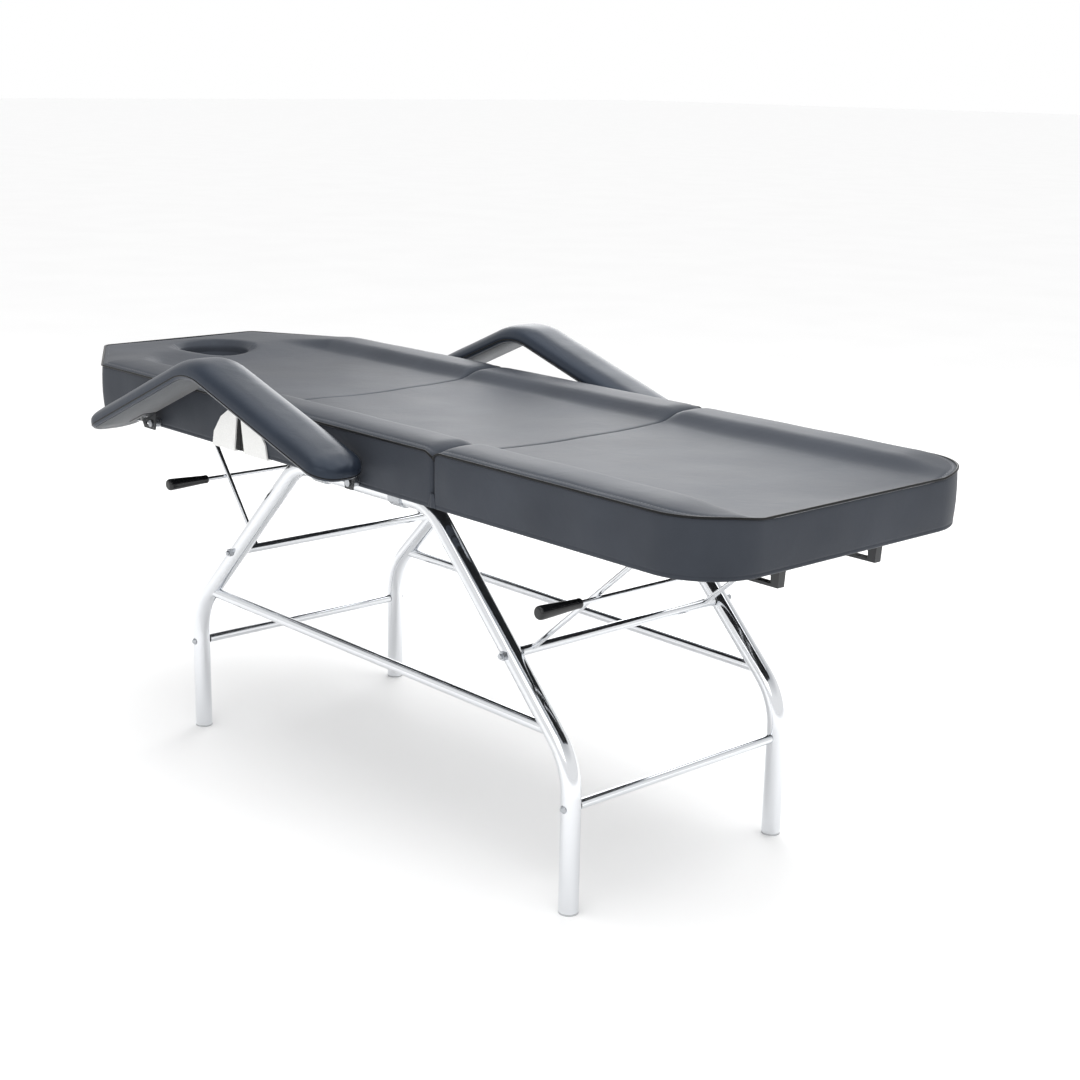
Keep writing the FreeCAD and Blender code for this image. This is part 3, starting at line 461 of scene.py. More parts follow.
FAR_OFF = 10.0
EDGE_REACH = 0.042
STITCH_FLANK = 0.004
STITCH_SINK = 0.0009
HOLE_DROP = 0.011
HOLE_REACH = 0.020
CREST_SHARE = 0.6
CREST_FALL = 0.002
HEAD_FALL = 0.004
HEAD_START = 0.05
HEAD_REACH = 0.13
# beside a seam the dish and the bolsters fall, each over its own reach
DISH_DROP = 0.0028
DISH_REACH = 0.009
BOLSTER_DROP = 0.013
BOLSTER_REACH = 0.024
# waves in the cover, per metre, and how high they rise
WAVES = 11.0
WAVE_RISE = 0.0013


def smooth(share):
    share = np.clip(share, 0, 1)
    return share * share * (3 - 2 * share)


def puff(share):
    """A quarter of an ellipse: steep at the seam and level inside."""
    share = np.clip(share, 0, 1)
    return np.sqrt(1 - (1 - share) ** 2)


def distance_to(run, along, across):
    """The distance of each place from a run of points."""
    best = np.full(along.shape, FAR_OFF)
    for start, end in zip(run, run[1:]):
        step = end - start
        share = ((along - start.x) * step.x + (across - start.y) * step.y) / step.length_squared
        share = np.clip(share, 0, 1)
        gap = np.hypot(along - start.x - share * step.x, across - start.y - share * step.y)
        best = np.minimum(best, gap)
    return best


def outer_run(name):
    """The edge that carries the piping: both long sides, and the free end where there is one."""
    rows = section_rows(name)
    far = [Vector((row.x, row.y)) for row in rows]
    near = [Vector((row.x, -row.y)) for row in rows]
    if name == "backrest":
        return [list(reversed(far)) + near]
    if name == "leg_rest":
        return [far + list(reversed(near))]
    return [far, near]


def seam_places(name):
    return {"seat": (BACK_SEAM, LEG_SEAM), "backrest": (BACK_SEAM,), "leg_rest": (LEG_SEAM,)}[name]


def beside_side(name, along, across):
    """Distance in from the long sides, round the narrowing head end too."""
    beside = HALF - np.abs(across)
    if name == "backrest":
        slope = math.atan2(HALF - HEAD_HALF, TAPER_LONG)
        taper = (HALF - np.abs(across)) * math.cos(slope) - (SHOULDER - along) * math.sin(slope)
        beside = np.minimum(beside, taper)
    return beside


def on_bolster(beside, sizes):
    fall = sizes.bolster - sizes.bolster_top
    return 1 - smooth((beside - sizes.bolster_top) / fall)


def room_to_rise(name, along, height, under):
    """Hold a height down beside the back seam, so that the sections don't meet as the backrest rises."""
    if name == "leg_rest":
        return height
    gap = np.abs(along - BACK_SEAM) - SEAM_GAP
    return np.minimum(height, HINGE_UP - under + FREE_SLOPE * gap)


def rim_height(name, along, across, sizes):
    """Height of the piping: level, turned down at the seams and dipped across the foot end."""
    rim = np.full(np.shape(along), RIM)
    if name == "leg_rest":
        near_end = smooth((along - LEGS_HIGH.x + FOOT_ROUND) / FOOT_ROUND)
        inward = smooth((HALF - np.abs(across) - DIP_START) / DIP_REACH)
        rim = rim - sizes.foot_dip * near_end * inward
    for seam in seam_places(name):
        gap = np.clip(np.abs(along - seam) - SEAM_GAP, 0, SEAM_TURN)
        rim = rim - SEAM_TURN + np.sqrt(SEAM_TURN ** 2 - (SEAM_TURN - gap) ** 2)
    return room_to_rise(name, along, rim, PIPING_UNDER_HINGE)


def plateau(name, along, across, sizes):
    """Height of the cover away from its edges: two bolsters and the dish between them."""
    beside = beside_side(name, along, across)
    raised = on_bolster(beside, sizes)
    inner = HALF - sizes.bolster
    bowl = np.clip(np.abs(across) / inner, 0, 1) ** 2
    dish = sizes.dish_middle + (sizes.dish_edge - sizes.dish_middle) * bowl
    middle = sizes.bolster_top * CREST_SHARE
    top = sizes.crown - CREST_FALL * ((beside - middle) / middle) ** 2
    fade = 1
    if name == "leg_rest":
        fade = 1 - FOOT_FADE * smooth((along - LEGS_HIGH.x + FOOT_FADE_REACH) / FOOT_FADE_REACH)
    level = dish + (top - dish) * raised * fade
    if name == "backrest":
        hollow = 1 - np.clip(np.abs(across) / HALF, 0, 1) ** 2
        head = sizes.crown - HEAD_FALL - HEAD_FALL * hollow
        level = level + (head - level) * smooth((SHOULDER + HEAD_START - along) / HEAD_REACH)
    for seam in seam_places(name):
        gap = np.abs(along - seam)
        drop = DISH_DROP + BOLSTER_DROP * raised
        reach = DISH_REACH + BOLSTER_REACH * raised
        level = level - drop * (1 - puff(gap / reach))
    return level


def unevenness(along, across, scale, amount):
    return amount * np.array([noise.noise(Vector((a * scale, b * scale, 1.7)))
                              for a, b in zip(along.ravel(), across.ravel())]).reshape(along.shape)


def cover_height(name, along, across, sizes):
    """Height of the top cover over the floor."""
    edge = np.full(along.shape, FAR_OFF)
    for run in outer_run(name):
        edge = np.minimum(edge, distance_to(run, along, across))
    rim = rim_height(name, along, across, sizes)
    level = plateau(name, along, across, sizes) + unevenness(along, across, WAVES, WAVE_RISE)
    height = rim + (level - rim) * puff(edge / EDGE_REACH)
    row = np.abs(edge - sizes.stitch_inset) / STITCH_FLANK
    height = height - STITCH_SINK * (1 - smooth(row))
    if name == "backrest":
        gap = np.hypot(along - FACE_HOLE.x, across - FACE_HOLE.y) - FACE_HOLE_RADIUS
        height = height - HOLE_DROP * (1 - puff(gap / HOLE_REACH))
    return room_to_rise(name, along, height, COVER_UNDER_HINGE)


# -------- padded shells

def new_object(name, mesh_source, material, body):
    """A finished piece at the origin, riding on its body where it has one."""
    mesh = bpy.data.meshes.new(name)
    mesh_source.to_mesh(mesh)
    mesh_source.free()
    piece = bpy.data.objects.new(name, mesh)
    bpy.context.scene.collection.objects.link(piece)
    for face in mesh.polygons:
        face.use_smooth = True
    mesh.materials.append(material)
    if body:
        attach(piece, body)
    return piece


def plan_grid(rows, shares):
    """A grid laid over a plan outline: rows along it, shares of its half width across."""
    shell = bmesh.new()
    bmesh.ops.create_grid(shell, x_segments=len(rows) - 1, y_segments=len(shares) - 1, size=1)
    for vert in shell.verts:
        row = rows[round((vert.co.x + 1) / 2 * (len(rows) - 1))]
        share = shares[round((vert.co.y + 1) / 2 * (len(shares) - 1))]
        vert.co = (row.x, row.y * share, 0)
    return shell


def cut_round_hole(shell, centre, radius):
    """Take out the faces inside a circle and draw the edge that is left onto it."""
    near = radius * 1.3
    inside = [face for face in shell.faces if (face.calc_center_median().xy - centre).length < radius]
    bmesh.ops.delete(shell, geom=inside, context="FACES")
    ring = [vert for vert in shell.verts if vert.is_boundary and (vert.co.xy - centre).length < near]
    for vert in ring:
        spot = centre + (vert.co.xy - centre).normalized() * radius
        vert.co = (spot.x, spot.y, 0)
    around = [vert for vert in shell.verts if not vert.is_boundary
              and (vert.co.xy - centre).length < near]
    for _ in range(12):
        bmesh.ops.smooth_vert(shell, verts=around, factor=0.5, use_axis_x=True, use_axis_y=True)
    return ring


def ring_normals(ring, centre, outward):
    """The plan direction out of the padding at each vertex of an edge ring."""
    normals = {}
    for vert in ring:
        ends = [edge.other_vert(vert) for edge in vert.link_edges if edge.is_boundary]
        step = (ends[1].co - ends[0].co).xy
        normal = Vector((step.y, -step.x)).normalized()
        if normal.dot(vert.co.xy - centre) * outward < 0:
            normal = -normal
        normals[vert] = normal
    return normals


def pull_wall(shell, ring, centre, outward, profile, foot, bulge=lambda home: 1.0):
    """Extrude an edge ring down step by step: (share of the way to the foot, distance out)."""
    normals = ring_normals(ring, centre, outward)
    homes = {vert: (vert.co.copy(), normal) for vert, normal in normals.items()}
    for share, out in profile:
        edges = [edge for edge in shell.edges
                 if edge.is_boundary and edge.verts[0] in homes and edge.verts[1] in homes]
        made = bmesh.ops.extrude_edge_only(shell, edges=edges)
        fresh = {}
        for vert in [item for item in made["geom"] if isinstance(item, bmesh.types.BMVert)]:
            ends = [edge.other_vert(vert) for edge in vert.link_edges]
            old = next(end for end in ends if end in homes)
            home, normal = homes[old]
            amount = out * bulge(home) if out > 0 else out
            spot = home.xy + normal * amount
            vert.co = (spot.x, spot.y, home.z + (foot - home.z) * share)
            fresh[vert] = (home, normal)
        homes = fresh
    return list(homes)


def close_under(shell, finish_index=0):
    """Fill what is still open underneath, in the piece's own or its second finish."""
    open_edges = [edge for edge in shell.edges if edge.is_boundary]
    made = bmesh.ops.triangle_fill(shell, use_beauty=True, use_dissolve=False, edges=open_edges)
    for face in [item for item in made["geom"] if isinstance(item, bmesh.types.BMFace)]:
        face.material_index = finish_index
    bmesh.ops.recalc_face_normals(shell, faces=shell.faces)


# shares of the way down a wall, and how far out the vinyl stands there
WALL = ((0.012, 0.0006), (0.06, 0.0012), (0.2, 0.0022), (0.4, 0.0028), (0.6, 0.0026), (0.78, 0.0014),
        (0.88, 0.0004), (0.915, 0.0), (0.93, -0.0009), (0.945, 0.0), (0.98, -0.0002), (1.0, -0.0016),
        (1.009, -0.004))
TURNED_IN = 0.016
TURNED_WIDTH = 0.020
COVER_STEP = ((0.3, -0.0005),)
HOLE_WALL = ((0.01, 0.0006), (0.06, 0.0012), (0.13, 0.001), (0.16, -0.0006), (0.19, 0.0008),
             (0.4, 0.0016), (0.7, 0.0012), (0.93, 0.0011), (1.0, 0.0008), (1.009, -0.004),
             (1.009, -0.012), (1.006, -0.0125))
# where the side panel starts to swell beside a hinge plate and a seam, and how soon it does
PLATE_REACH, PLATE_FADE = 0.09, 0.06
SEAM_REACH, SEAM_FADE = 0.006, 0.04
PANEL_WAVES = 14


def side_bulge(home):
    """How freely the side panel swells: not behind the hinge plates or beside a seam."""
    rise = smooth(np.array((abs(home.x - BACK_SEAM) - PLATE_REACH) / PLATE_FADE))
    near_leg_seam = smooth(np.array((abs(home.x - LEG_SEAM) - SEAM_REACH) / SEAM_FADE))
    ripple = 0.75 + 0.9 * noise.noise(Vector((home.x * PANEL_WAVES, home.y * PANEL_WAVES, 4.0)))
    return float(rise * near_leg_seam) * ripple


def turn_under(shell, foot, middle, rows):
    """Turn the vinyl under the board, with square corners at the seams where two turns meet."""
    turned = pull_wall(shell, foot, middle, 1, ((0.0, -TURNED_IN),), UNDERSIDE)
    low, high = rows[0].x + TURNED_WIDTH, rows[-1].x - TURNED_WIDTH
    half = HALF - TURNED_WIDTH
    for vert in turned:
        vert.co.x = min(max(vert.co.x, low), high)
        vert.co.y = min(max(vert.co.y, -half), half)
    bmesh.ops.remove_doubles(shell, verts=turned, dist=0.0003)
    edge = [vert for vert in turned if vert.is_valid]
    pull_wall(shell, edge, middle, 1, COVER_STEP, UNDERSIDE)


def section_shell(name, sizes):
    """One upholstered section: its dished top, side panels and the vinyl turned under the board."""
    rows = section_rows(name)
    shell = plan_grid(rows, edge_spacing(HALF, NEAR_EDGE, COLUMN_STEP))
    outer = [vert for vert in shell.verts if vert.is_boundary]
    hole = cut_round_hole(shell, FACE_HOLE, FACE_HOLE_RADIUS) if name == "backrest" else []
    verts = list(shell.verts)
    along = np.array([vert.co.x for vert in verts])
    across = np.array([vert.co.y for vert in verts])
    for vert, height in zip(verts, cover_height(name, along, across, sizes)):
        vert.co.z = height
    middle = Vector(((rows[0].x + rows[-1].x) / 2, 0))
    foot = pull_wall(shell, outer, middle, 1, WALL, UNDERSIDE, side_bulge)
    turn_under(shell, foot, middle, rows)
    if hole:
        pull_wall(shell, hole, FACE_HOLE, -1, HOLE_WALL, UNDERSIDE)
    close_under(shell, 1)
    return shell


SECTIONS = (("seat", "frame"), ("backrest", "backrest"), ("leg_rest", "leg_rest"))


# -------- runs along the upholstery

def run_curve(name, runs, radius, material, body, cyclic=False):
    """Round cords along runs of places, as one mesh."""
    data = bpy.data.curves.new(name, "CURVE")
    data.dimensions = "3D"
    data.bevel_depth = radius
    data.bevel_resolution = 2
    data.use_fill_caps = True
    for run in runs:
        spline = data.splines.new("POLY")
        spline.points.add(len(run) - 1)
        spline.use_cyclic_u = cyclic
        for point, place in zip(spline.points, run):
            point.co = (*place, 1)
    holder = bpy.data.objects.new(name + "_run", data)
    bpy.context.scene.collection.objects.link(holder)
    bpy.context.view_layer.update()
    drawn = holder.evaluated_get(bpy.context.evaluated_depsgraph_get())
    made = bpy.data.meshes.new_from_object(drawn)
    bpy.data.objects.remove(holder)
    bpy.data.curves.remove(data)
    piece = bmesh.new()
    piece.from_mesh(made)
    bpy.data.meshes.remove(made)
    bmesh.ops.remove_doubles(piece, verts=piece.verts, dist=1e-6)
    bmesh.ops.recalc_face_normals(piece, faces=piece.faces)
    return new_object(name, piece, material, body)


def resampled(run, step):
    """Even steps along a run."""
    places = [run[0]]
    left = step
    for start, end in zip(run, run[1:]):
        span = (end - start).length
        at = left
        while at <= span:
            places.append(start.lerp(end, at / span))
            at += step
        left = at - span
    return places


def inset_run(run, amount):
    """A plan run moved in by an amount, to its right when amount is positive."""
    moved = []
    for index, point in enumerate(run):
        before = run[max(index - 1, 0)]
        after = run[min(index + 1, len(run) - 1)]
        step = (after - before).normalized()
        moved.append(point + Vector((step.y, -step.x)) * amount)
    return moved


def inward_sign(run):
    """1 when the right-hand side of a run faces the middle of the bed's width."""
    middle = run[len(run) // 2]
    step = run[len(run) // 2 + 1] - run[len(run) // 2 - 1]
    right = Vector((step.y, -step.x))
    centre = sum((point.x for point in run)) / len(run)
    return 1 if right.dot(Vector((centre, 0)) - middle) > 0 else -1


AT_SEAM = 0.01
PIPING_FOOT = 0.003
STITCH_HALF_WIDTH = 0.0006
STITCH_HALF_HEIGHT = 0.00045


def piping_runs(name, sizes):
    """The welt along the top edge, turned down at each seam."""
    runs = []
    for run in outer_run(name):
        along = np.array([point.x for point in run])
        across = np.array([point.y for point in run])
        heights = rim_height(name, along, across, sizes)
        outside = inset_run(run, -PIPING_OUT * inward_sign(run))
        line = [Vector((point.x, point.y, height + PIPING_UP)) for point, height in zip(outside, heights)]
        for end in (0, -1):
            if min(abs(line[end].x - seam) for seam in seam_places(name)) < AT_SEAM:
                foot = Vector((line[end].x, line[end].y, UNDERSIDE + PIPING_FOOT))
                line.insert(0 if end == 0 else len(line), foot)
        runs.append(line)
    return runs


def lay_stitches(name, places, sizes, material, body):
    """Short lens-shaped stitches along runs of (place, normal) pairs."""
    seam = bmesh.new()
    for run in places:
        for (start, normal), (end, _) in zip(run, run[1:]):
            heading = (end - start).normalized()
            side = normal.cross(heading).normalized()
            turn = Matrix((heading, side, normal)).transposed().to_4x4()
            turn.translation = (start + end) / 2
            shape = turn @ Matrix.Diagonal((sizes.stitch / 2, STITCH_HALF_WIDTH, STITCH_HALF_HEIGHT, 1))
            bmesh.ops.create_icosphere(seam, subdivisions=1, radius=1, matrix=shape)
    return new_object(name, seam, material, body)


def on_surface(tree, point):
    """The place on a finished cover at a point of its plan, with the cover's normal."""
    hit, normal, *_ = tree.ray_cast(Vector((point.x, point.y, 2 * RIM)), Vector((0, 0, -1)))
    return None if hit is None else (hit, normal)


def tree_of(piece):
    shape = bmesh.new()
    shape.from_mesh(piece.data)
    tree = BVHTree.FromBMesh(shape)
    shape.free()
    return tree


# -------- armrests

ARM_LOW, ARM_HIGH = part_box("armrest_left_pad")
ARM_MIDDLE = (ARM_LOW.y + ARM_HIGH.y) / 2
ARM_HALF = (ARM_HIGH.y - ARM_LOW.y) / 2
ARM_CREST = Vector((BACK_SEAM + 0.003, 0.752))
ARM_TAIL = ARM_CREST.x - 0.360
ARM_NOSE = ARM_CREST.x + 0.394
TAIL_SLOPE = math.radians(23.4)
NOSE_SLOPE = math.radians(17.2)
TAIL_HEADING = Vector((math.cos(TAIL_SLOPE), math.sin(TAIL_SLOPE)))
ARM_BEND = 0.118
BEND_CUT = ARM_BEND * math.tan((TAIL_SLOPE + NOSE_SLOPE) / 2)
ARM_ROUND = 0.042
ARM_STEP = 0.008
ARM_ARC_STEPS = 12


def arm_path():
    """The underside of an armrest in side view: lengths of the rear run, the bend and the front run."""
    rear = (ARM_CREST.x - ARM_TAIL) / math.cos(TAIL_SLOPE) - BEND_CUT
    front = (ARM_NOSE - ARM_CREST.x) / math.cos(NOSE_SLOPE) - BEND_CUT
    return rear, ARM_BEND * (TAIL_SLOPE + NOSE_SLOPE), front


def arm_place(along, across, height, side):
    """From lengths along, across and above an armrest's underside to its place in the room."""
    rear, bend, _ = arm_path()
    angle = TAIL_SLOPE - min(max(along - rear, 0), bend) / ARM_BEND
    heading = Vector((math.cos(angle), math.sin(angle)))
    up = Vector((-heading.y, heading.x))
    start = ARM_CREST - TAIL_HEADING * (rear + BEND_CUT)
    spot = start + TAIL_HEADING * min(along, rear)
    if along > rear:
        spot = start + TAIL_HEADING * rear + Vector((TAIL_HEADING.y, -TAIL_HEADING.x)) * ARM_BEND
        spot = spot + up * ARM_BEND
    if along > rear + bend:
        spot = spot + heading * (along - rear - bend)
    spot = spot + up * height
    return Vector((spot.x, side * (ARM_MIDDLE + across), spot.y))


def arm_rows(inset):
    total = sum(arm_path())
    half = ARM_HALF - inset
    corners = [(inset, 0, 0), (inset, half, ARM_ROUND - inset), (total - inset, half, ARM_ROUND - inset),
               (total - inset, 0, 0)]
    return filled(rounded(corners, (ARM_ARC_STEPS, ARM_ARC_STEPS)), ARM_STEP)


def arm_outline(inset):
    """The whole rounded outline of an armrest, moved in by an inset."""
    rows = arm_rows(inset)
    return rows + [Vector((row.x, -row.y)) for row in reversed(rows)]


def arm_edge(along, across):
    """Distance in from an armrest's rounded outline."""
    run = arm_outline(0)
    return distance_to(run + run[:1], along, across)


def bend_into_place(shell, side):
    for vert in shell.verts:
        vert.co = arm_place(vert.co.x, vert.co.y, vert.co.z, side)
    bmesh.ops.recalc_face_normals(shell, faces=shell.faces)


ARM_NEAR = (0, 0.0008, 0.002, 0.004, 0.007, 0.011, 0.016, 0.022, 0.029, 0.037)
ARM_WALL = ((0.1, 0.0004), (0.35, 0.0006), (0.6, 0.0), (0.8, -0.001), (0.95, -0.0022), (1.0, -0.004),
            (1.02, -0.012), (0.98, -0.0125))
ARM_SHOULDER = 0.013
ARM_WELT = 0.0014
ARM_WELT_INSET = 0.0002
ARM_WELT_UP = 0.0058
ARM_CROWN_FALL = 0.0015
ARM_EDGE_REACH = 0.034
ARM_WAVES = 16.0
ARM_WAVE_RISE = 0.0006
# the gathers that fan out from both rounded ends
GATHER_TURNS = 300
GATHER_WANDER = 9
GATHER_RISE = 0.0018
GATHER_REACH = 0.022
GATHER_START = 0.008
LINING_INSET = 0.006
LINING_TOP = -0.0002
LINING_FOOT = -0.0014


def armrest_shell(side, sizes):
    """The padded cover of one armrest: crowned, rounded at both ends and drawn round its board."""
    shell = plan_grid(arm_rows(0), edge_spacing(ARM_HALF, ARM_NEAR, ARM_STEP))
    verts = list(shell.verts)
    along = np.array([vert.co.x for vert in verts])
    across = np.array([vert.co.y for vert in verts])
    edge = arm_edge(along, across)
    crown = sizes.arm_crown - ARM_CROWN_FALL * (across / ARM_HALF) ** 2
    total = sum(arm_path())
    from_end = np.minimum(along, total - along)
    fan = np.sin(across * GATHER_TURNS + GATHER_WANDER * unevenness(along, across, 30.0, 1.0))
    gather = GATHER_RISE * fan * np.exp(-from_end / GATHER_REACH) * smooth(edge / GATHER_START)
    level = crown + unevenness(along, across, ARM_WAVES, ARM_WAVE_RISE) + gather
    heights = ARM_SHOULDER + (level - ARM_SHOULDER) * puff(edge / ARM_EDGE_REACH)
    for vert, height in zip(verts, heights):
        vert.co.z = height
    outer = [vert for vert in shell.verts if vert.is_boundary]
    pull_wall(shell, outer, Vector((total / 2, 0)), 1, ARM_WALL, 0.0)
    close_under(shell)
    bend_into_place(shell, side)
    return shell


def lining_shell(side):
    """The thin cloth that closes an armrest's underside."""
    shell = plan_grid(arm_rows(LINING_INSET), edge_spacing(ARM_HALF - LINING_INSET, ARM_NEAR, ARM_STEP))
    for vert in shell.verts:
        vert.co.z = LINING_TOP
    outer = [vert for vert in shell.verts if vert.is_boundary]
    pull_wall(shell, outer, Vector((sum(arm_path()) / 2, 0)), 1, ((1.0, -0.0004),), LINING_FOOT)
    close_under(shell)
    bend_into_place(shell, side)
    return shell


# -------- hinge folds

# half widths of each slot at its foot and its top, and how deep its pleats are
BACK_SLOT = (0.019, 0.003, 0.0022)
LEG_SLOT = (0.010, 0.004, 0.0016)
LEG_PLEATS = 2
SLOT_FOOT = UNDERSIDE + 0.001
BACK_SLOT_TOP = RIM - 0.010
LEG_SLOT_TOP = UNDERSIDE + 0.024
FOLD_STANDS_OUT = 0.0003
FOLD_THICK = 0.0008


def fold_shell(seam, side, top, slot, pleats):
    """A pleated strip of vinyl in the slot between two sections."""
    wide_low, wide_high, depth = slot
    fold = bmesh.new()
    bmesh.ops.create_grid(fold, x_segments=pleats * 4, y_segments=8, size=1)
    for vert in fold.verts:
        rise = (vert.co.y + 1) / 2
        half = wide_low + (wide_high - wide_low) * rise
        ridge = 0.5 + 0.5 * math.cos(vert.co.x * math.pi * pleats)
        narrower = (half / max(wide_low, wide_high)) ** 0.5
        out = FOLD_STANDS_OUT + depth * ridge * (1 - abs(vert.co.x)) * narrower
        vert.co = (seam + vert.co.x * half, side * (HALF + out), SLOT_FOOT + (top - SLOT_FOOT) * rise)
    bmesh.ops.recalc_face_normals(fold, faces=fold.faces)
    bmesh.ops.solidify(fold, geom=fold.faces[:], thickness=FOLD_THICK)
    bmesh.ops.recalc_face_normals(fold, faces=fold.faces)
    return fold


# -------- grips

# shares of a grip's length, and of its radius there
GRIP_PROFILE = ((0.0, 0.0), (0.0, 0.55), (0.012, 0.82), (0.035, 0.95), (0.075, 1.0), (0.2, 0.97),
                (0.45, 0.88), (0.75, 0.76), (0.93, 0.70), (0.965, 0.74), (0.99, 0.70), (1.0, 0.62),
                (1.0, 0.4))
GRIP_DIMPLE = 0.0018


def grip_shell(node_name):
    """A moulded handle grip turned round its rod, with a soft end and a small dimple."""
    low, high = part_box(node_name)
    radius = (high.x - low.x) / 2
    reach = high.y - low.y
    centre = Vector(((low.x + high.x) / 2, low.y, (low.z + high.z) / 2))
    grip = bmesh.new()
    points = [grip.verts.new((share * radius, along * reach, 0)) for along, share in GRIP_PROFILE]
    points[0].co.y = GRIP_DIMPLE
    edges = [grip.edges.new(pair) for pair in zip(points, points[1:])]
    bmesh.ops.spin(grip, geom=points + edges, cent=(0, 0, 0), axis=(0, 1, 0), angle=math.tau, steps=32,
                   use_merge=True)
    bmesh.ops.remove_doubles(grip, verts=grip.verts, dist=1e-5)
    open_edges = [edge for edge in grip.edges if edge.is_boundary]
    bmesh.ops.contextual_create(grip, geom=open_edges)
    bmesh.ops.translate(grip, verts=grip.verts, vec=centre)
    bmesh.ops.recalc_face_normals(grip, faces=grip.faces)
    return grip


# -------- studio

FLOOR_HALF = 60
# name, place from the middle of the legs, width and power
LAMPS = (("overhead", (0.3, 0.2, 2.7), 3.4, 60), ("rear_fill", (-2.2, 2.6, 1.9), 2.0, 34),
         ("near_fill", (1.6, -2.9, 2.0), 2.0, 16))
LAMPS_AIM = Vector((0, 0, 0.5))
CAMERA_PLACE = Vector((2.375, -1.983, 1.2615))
CAMERA_AZIMUTH = math.radians(48.29)
CAMERA_ELEVATION = math.radians(14.47)
CAMERA_ROLL = math.radians(0.964)
CAMERA_LENS = 59.63
CAMERA_SENSOR = 36.0
CAMERA_SHIFT = (0.0132, -0.0067)


# -------- operators

class BED_OT_stage(bpy.types.Operator):
    """Lay the floor and set up the soft studio light and the camera"""
    bl_idname = "bed.stage"
    bl_label = "Stage"

    def execute(self, context):
        floor = bmesh.new()
        bmesh.ops.create_grid(floor, x_segments=1, y_segments=1, size=FLOOR_HALF)
        mesh = bpy.data.meshes.new("studio_floor")
        floor.to_mesh(mesh)
        floor.free()
        piece = bpy.data.objects.new("studio_floor", mesh)
        context.scene.collection.objects.link(piece)
        mesh.materials.append(finish_of("floor"))
        self.light_room(context)
        self.place_camera(context)
        return {"FINISHED"}

    def light_room(self, context):
        """A white room whose ceiling is a little greyer, so that metal and gloss show their form."""
        world = bpy.data.worlds.new("studio")
        context.scene.world = world
        world.use_nodes = True
        tree = world.node_tree
        back = tree.nodes["Background"]
        sky = add_node(tree, "TexCoord").outputs["Generated"]
        split = add_node(tree, "SeparateXYZ", links={"Vector": sky})
        ceiling = shades(tree, split.outputs["Z"], linear("#ffffff"), linear("#8d9299"), 0.35, 0.95)
        seen = add_node(tree, "LightPath")
        mixed = add_node(tree, "Mix", {"data_type": "RGBA"},
                         {"Factor": seen.outputs["Is Glossy Ray"], 7: ceiling})
        mixed.inputs[6].default_value = (1.0, 1.0, 1.0, 1.0)
        tree.links.new(mixed.outputs[2], back.inputs["Color"])
        back.inputs["Strength"].default_value = 1.0
        context.scene.view_settings.view_transform = "Standard"
        for name, spot, size, power in LAMPS:
            data = bpy.data.lights.new(name, "AREA")
            data.energy = power
            data.size = size
            lamp = bpy.data.objects.new(name, data)
            context.scene.collection.objects.link(lamp)
            aim = (LAMPS_AIM - Vector(spot)).to_track_quat("-Z", "Y")
            place = Matrix.Translation(LEGS_MIDDLE + Vector(spot))
            lamp.matrix_world = place @ aim.to_matrix().to_4x4()

    def place_camera(self, context):
        """The camera looks from the foot end's near side, a little from above."""
        level = Vector((math.cos(CAMERA_AZIMUTH), math.sin(CAMERA_AZIMUTH), 0))
        back = Vector((level.y * math.cos(CAMERA_ELEVATION), -level.x * math.cos(CAMERA_ELEVATION),
                       math.sin(CAMERA_ELEVATION)))
        upright = back.cross(level)
        right = level * math.cos(CAMERA_ROLL) + upright * math.sin(CAMERA_ROLL)
        up = upright * math.cos(CAMERA_ROLL) - level * math.sin(CAMERA_ROLL)
        data = bpy.data.cameras.new("camera")
        data.lens = CAMERA_LENS
        data.sensor_width = CAMERA_SENSOR
        data.shift_x, data.shift_y = CAMERA_SHIFT
        camera = bpy.data.objects.new("camera", data)
        context.scene.collection.objects.link(camera)
        turned = Matrix((right, up, back)).transposed().to_4x4()
        camera.matrix_world = Matrix.Translation(LEGS_MIDDLE + CAMERA_PLACE) @ turned
        context.scene.camera = camera


class BED_OT_sections(bpy.types.Operator):
    """Upholster the backrest, the seat and the leg rest"""
    bl_idname = "bed.sections"
    bl_label = "Upholstered sections"

    def execute(self, context):
        for name, body in SECTIONS:
            shell = section_shell(name, context.scene.bed_sizes)
            piece = new_object(name + "_upholstery", shell, finish_of("leather"), body)
            piece.data.materials.append(finish_of("dust_cover"))
            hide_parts(name + "_cushion")
        return {"FINISHED"}


class BED_OT_piping(bpy.types.Operator):
    """Sew the piping along the edges of the three sections"""
    bl_idname = "bed.piping"
    bl_label = "Piping"

    def execute(self, context):
        sizes = context.scene.bed_sizes
        for name, body in SECTIONS:
            run_curve(name + "_piping", piping_runs(name, sizes), sizes.piping, finish_of("piping"), body)
        return {"FINISHED"}


class BED_OT_stitches(bpy.types.Operator):
    """Topstitch the covers beside the piping"""
    bl_idname = "bed.stitches"
    bl_label = "Topstitches"

    def execute(self, context):
        sizes = context.scene.bed_sizes
        for name, body in SECTIONS:
            tree = tree_of(bpy.data.objects[name + "_upholstery"])
            places = []
            for run in outer_run(name):
                inner = inset_run(run, sizes.stitch_inset * inward_sign(run))
                spots = [on_surface(tree, point) for point in resampled(inner, sizes.stitch_step)]
                places.append([spot for spot in spots if spot is not None])
            lay_stitches(name + "_topstitches", places, sizes, finish_of("thread"), body)
        return {"FINISHED"}


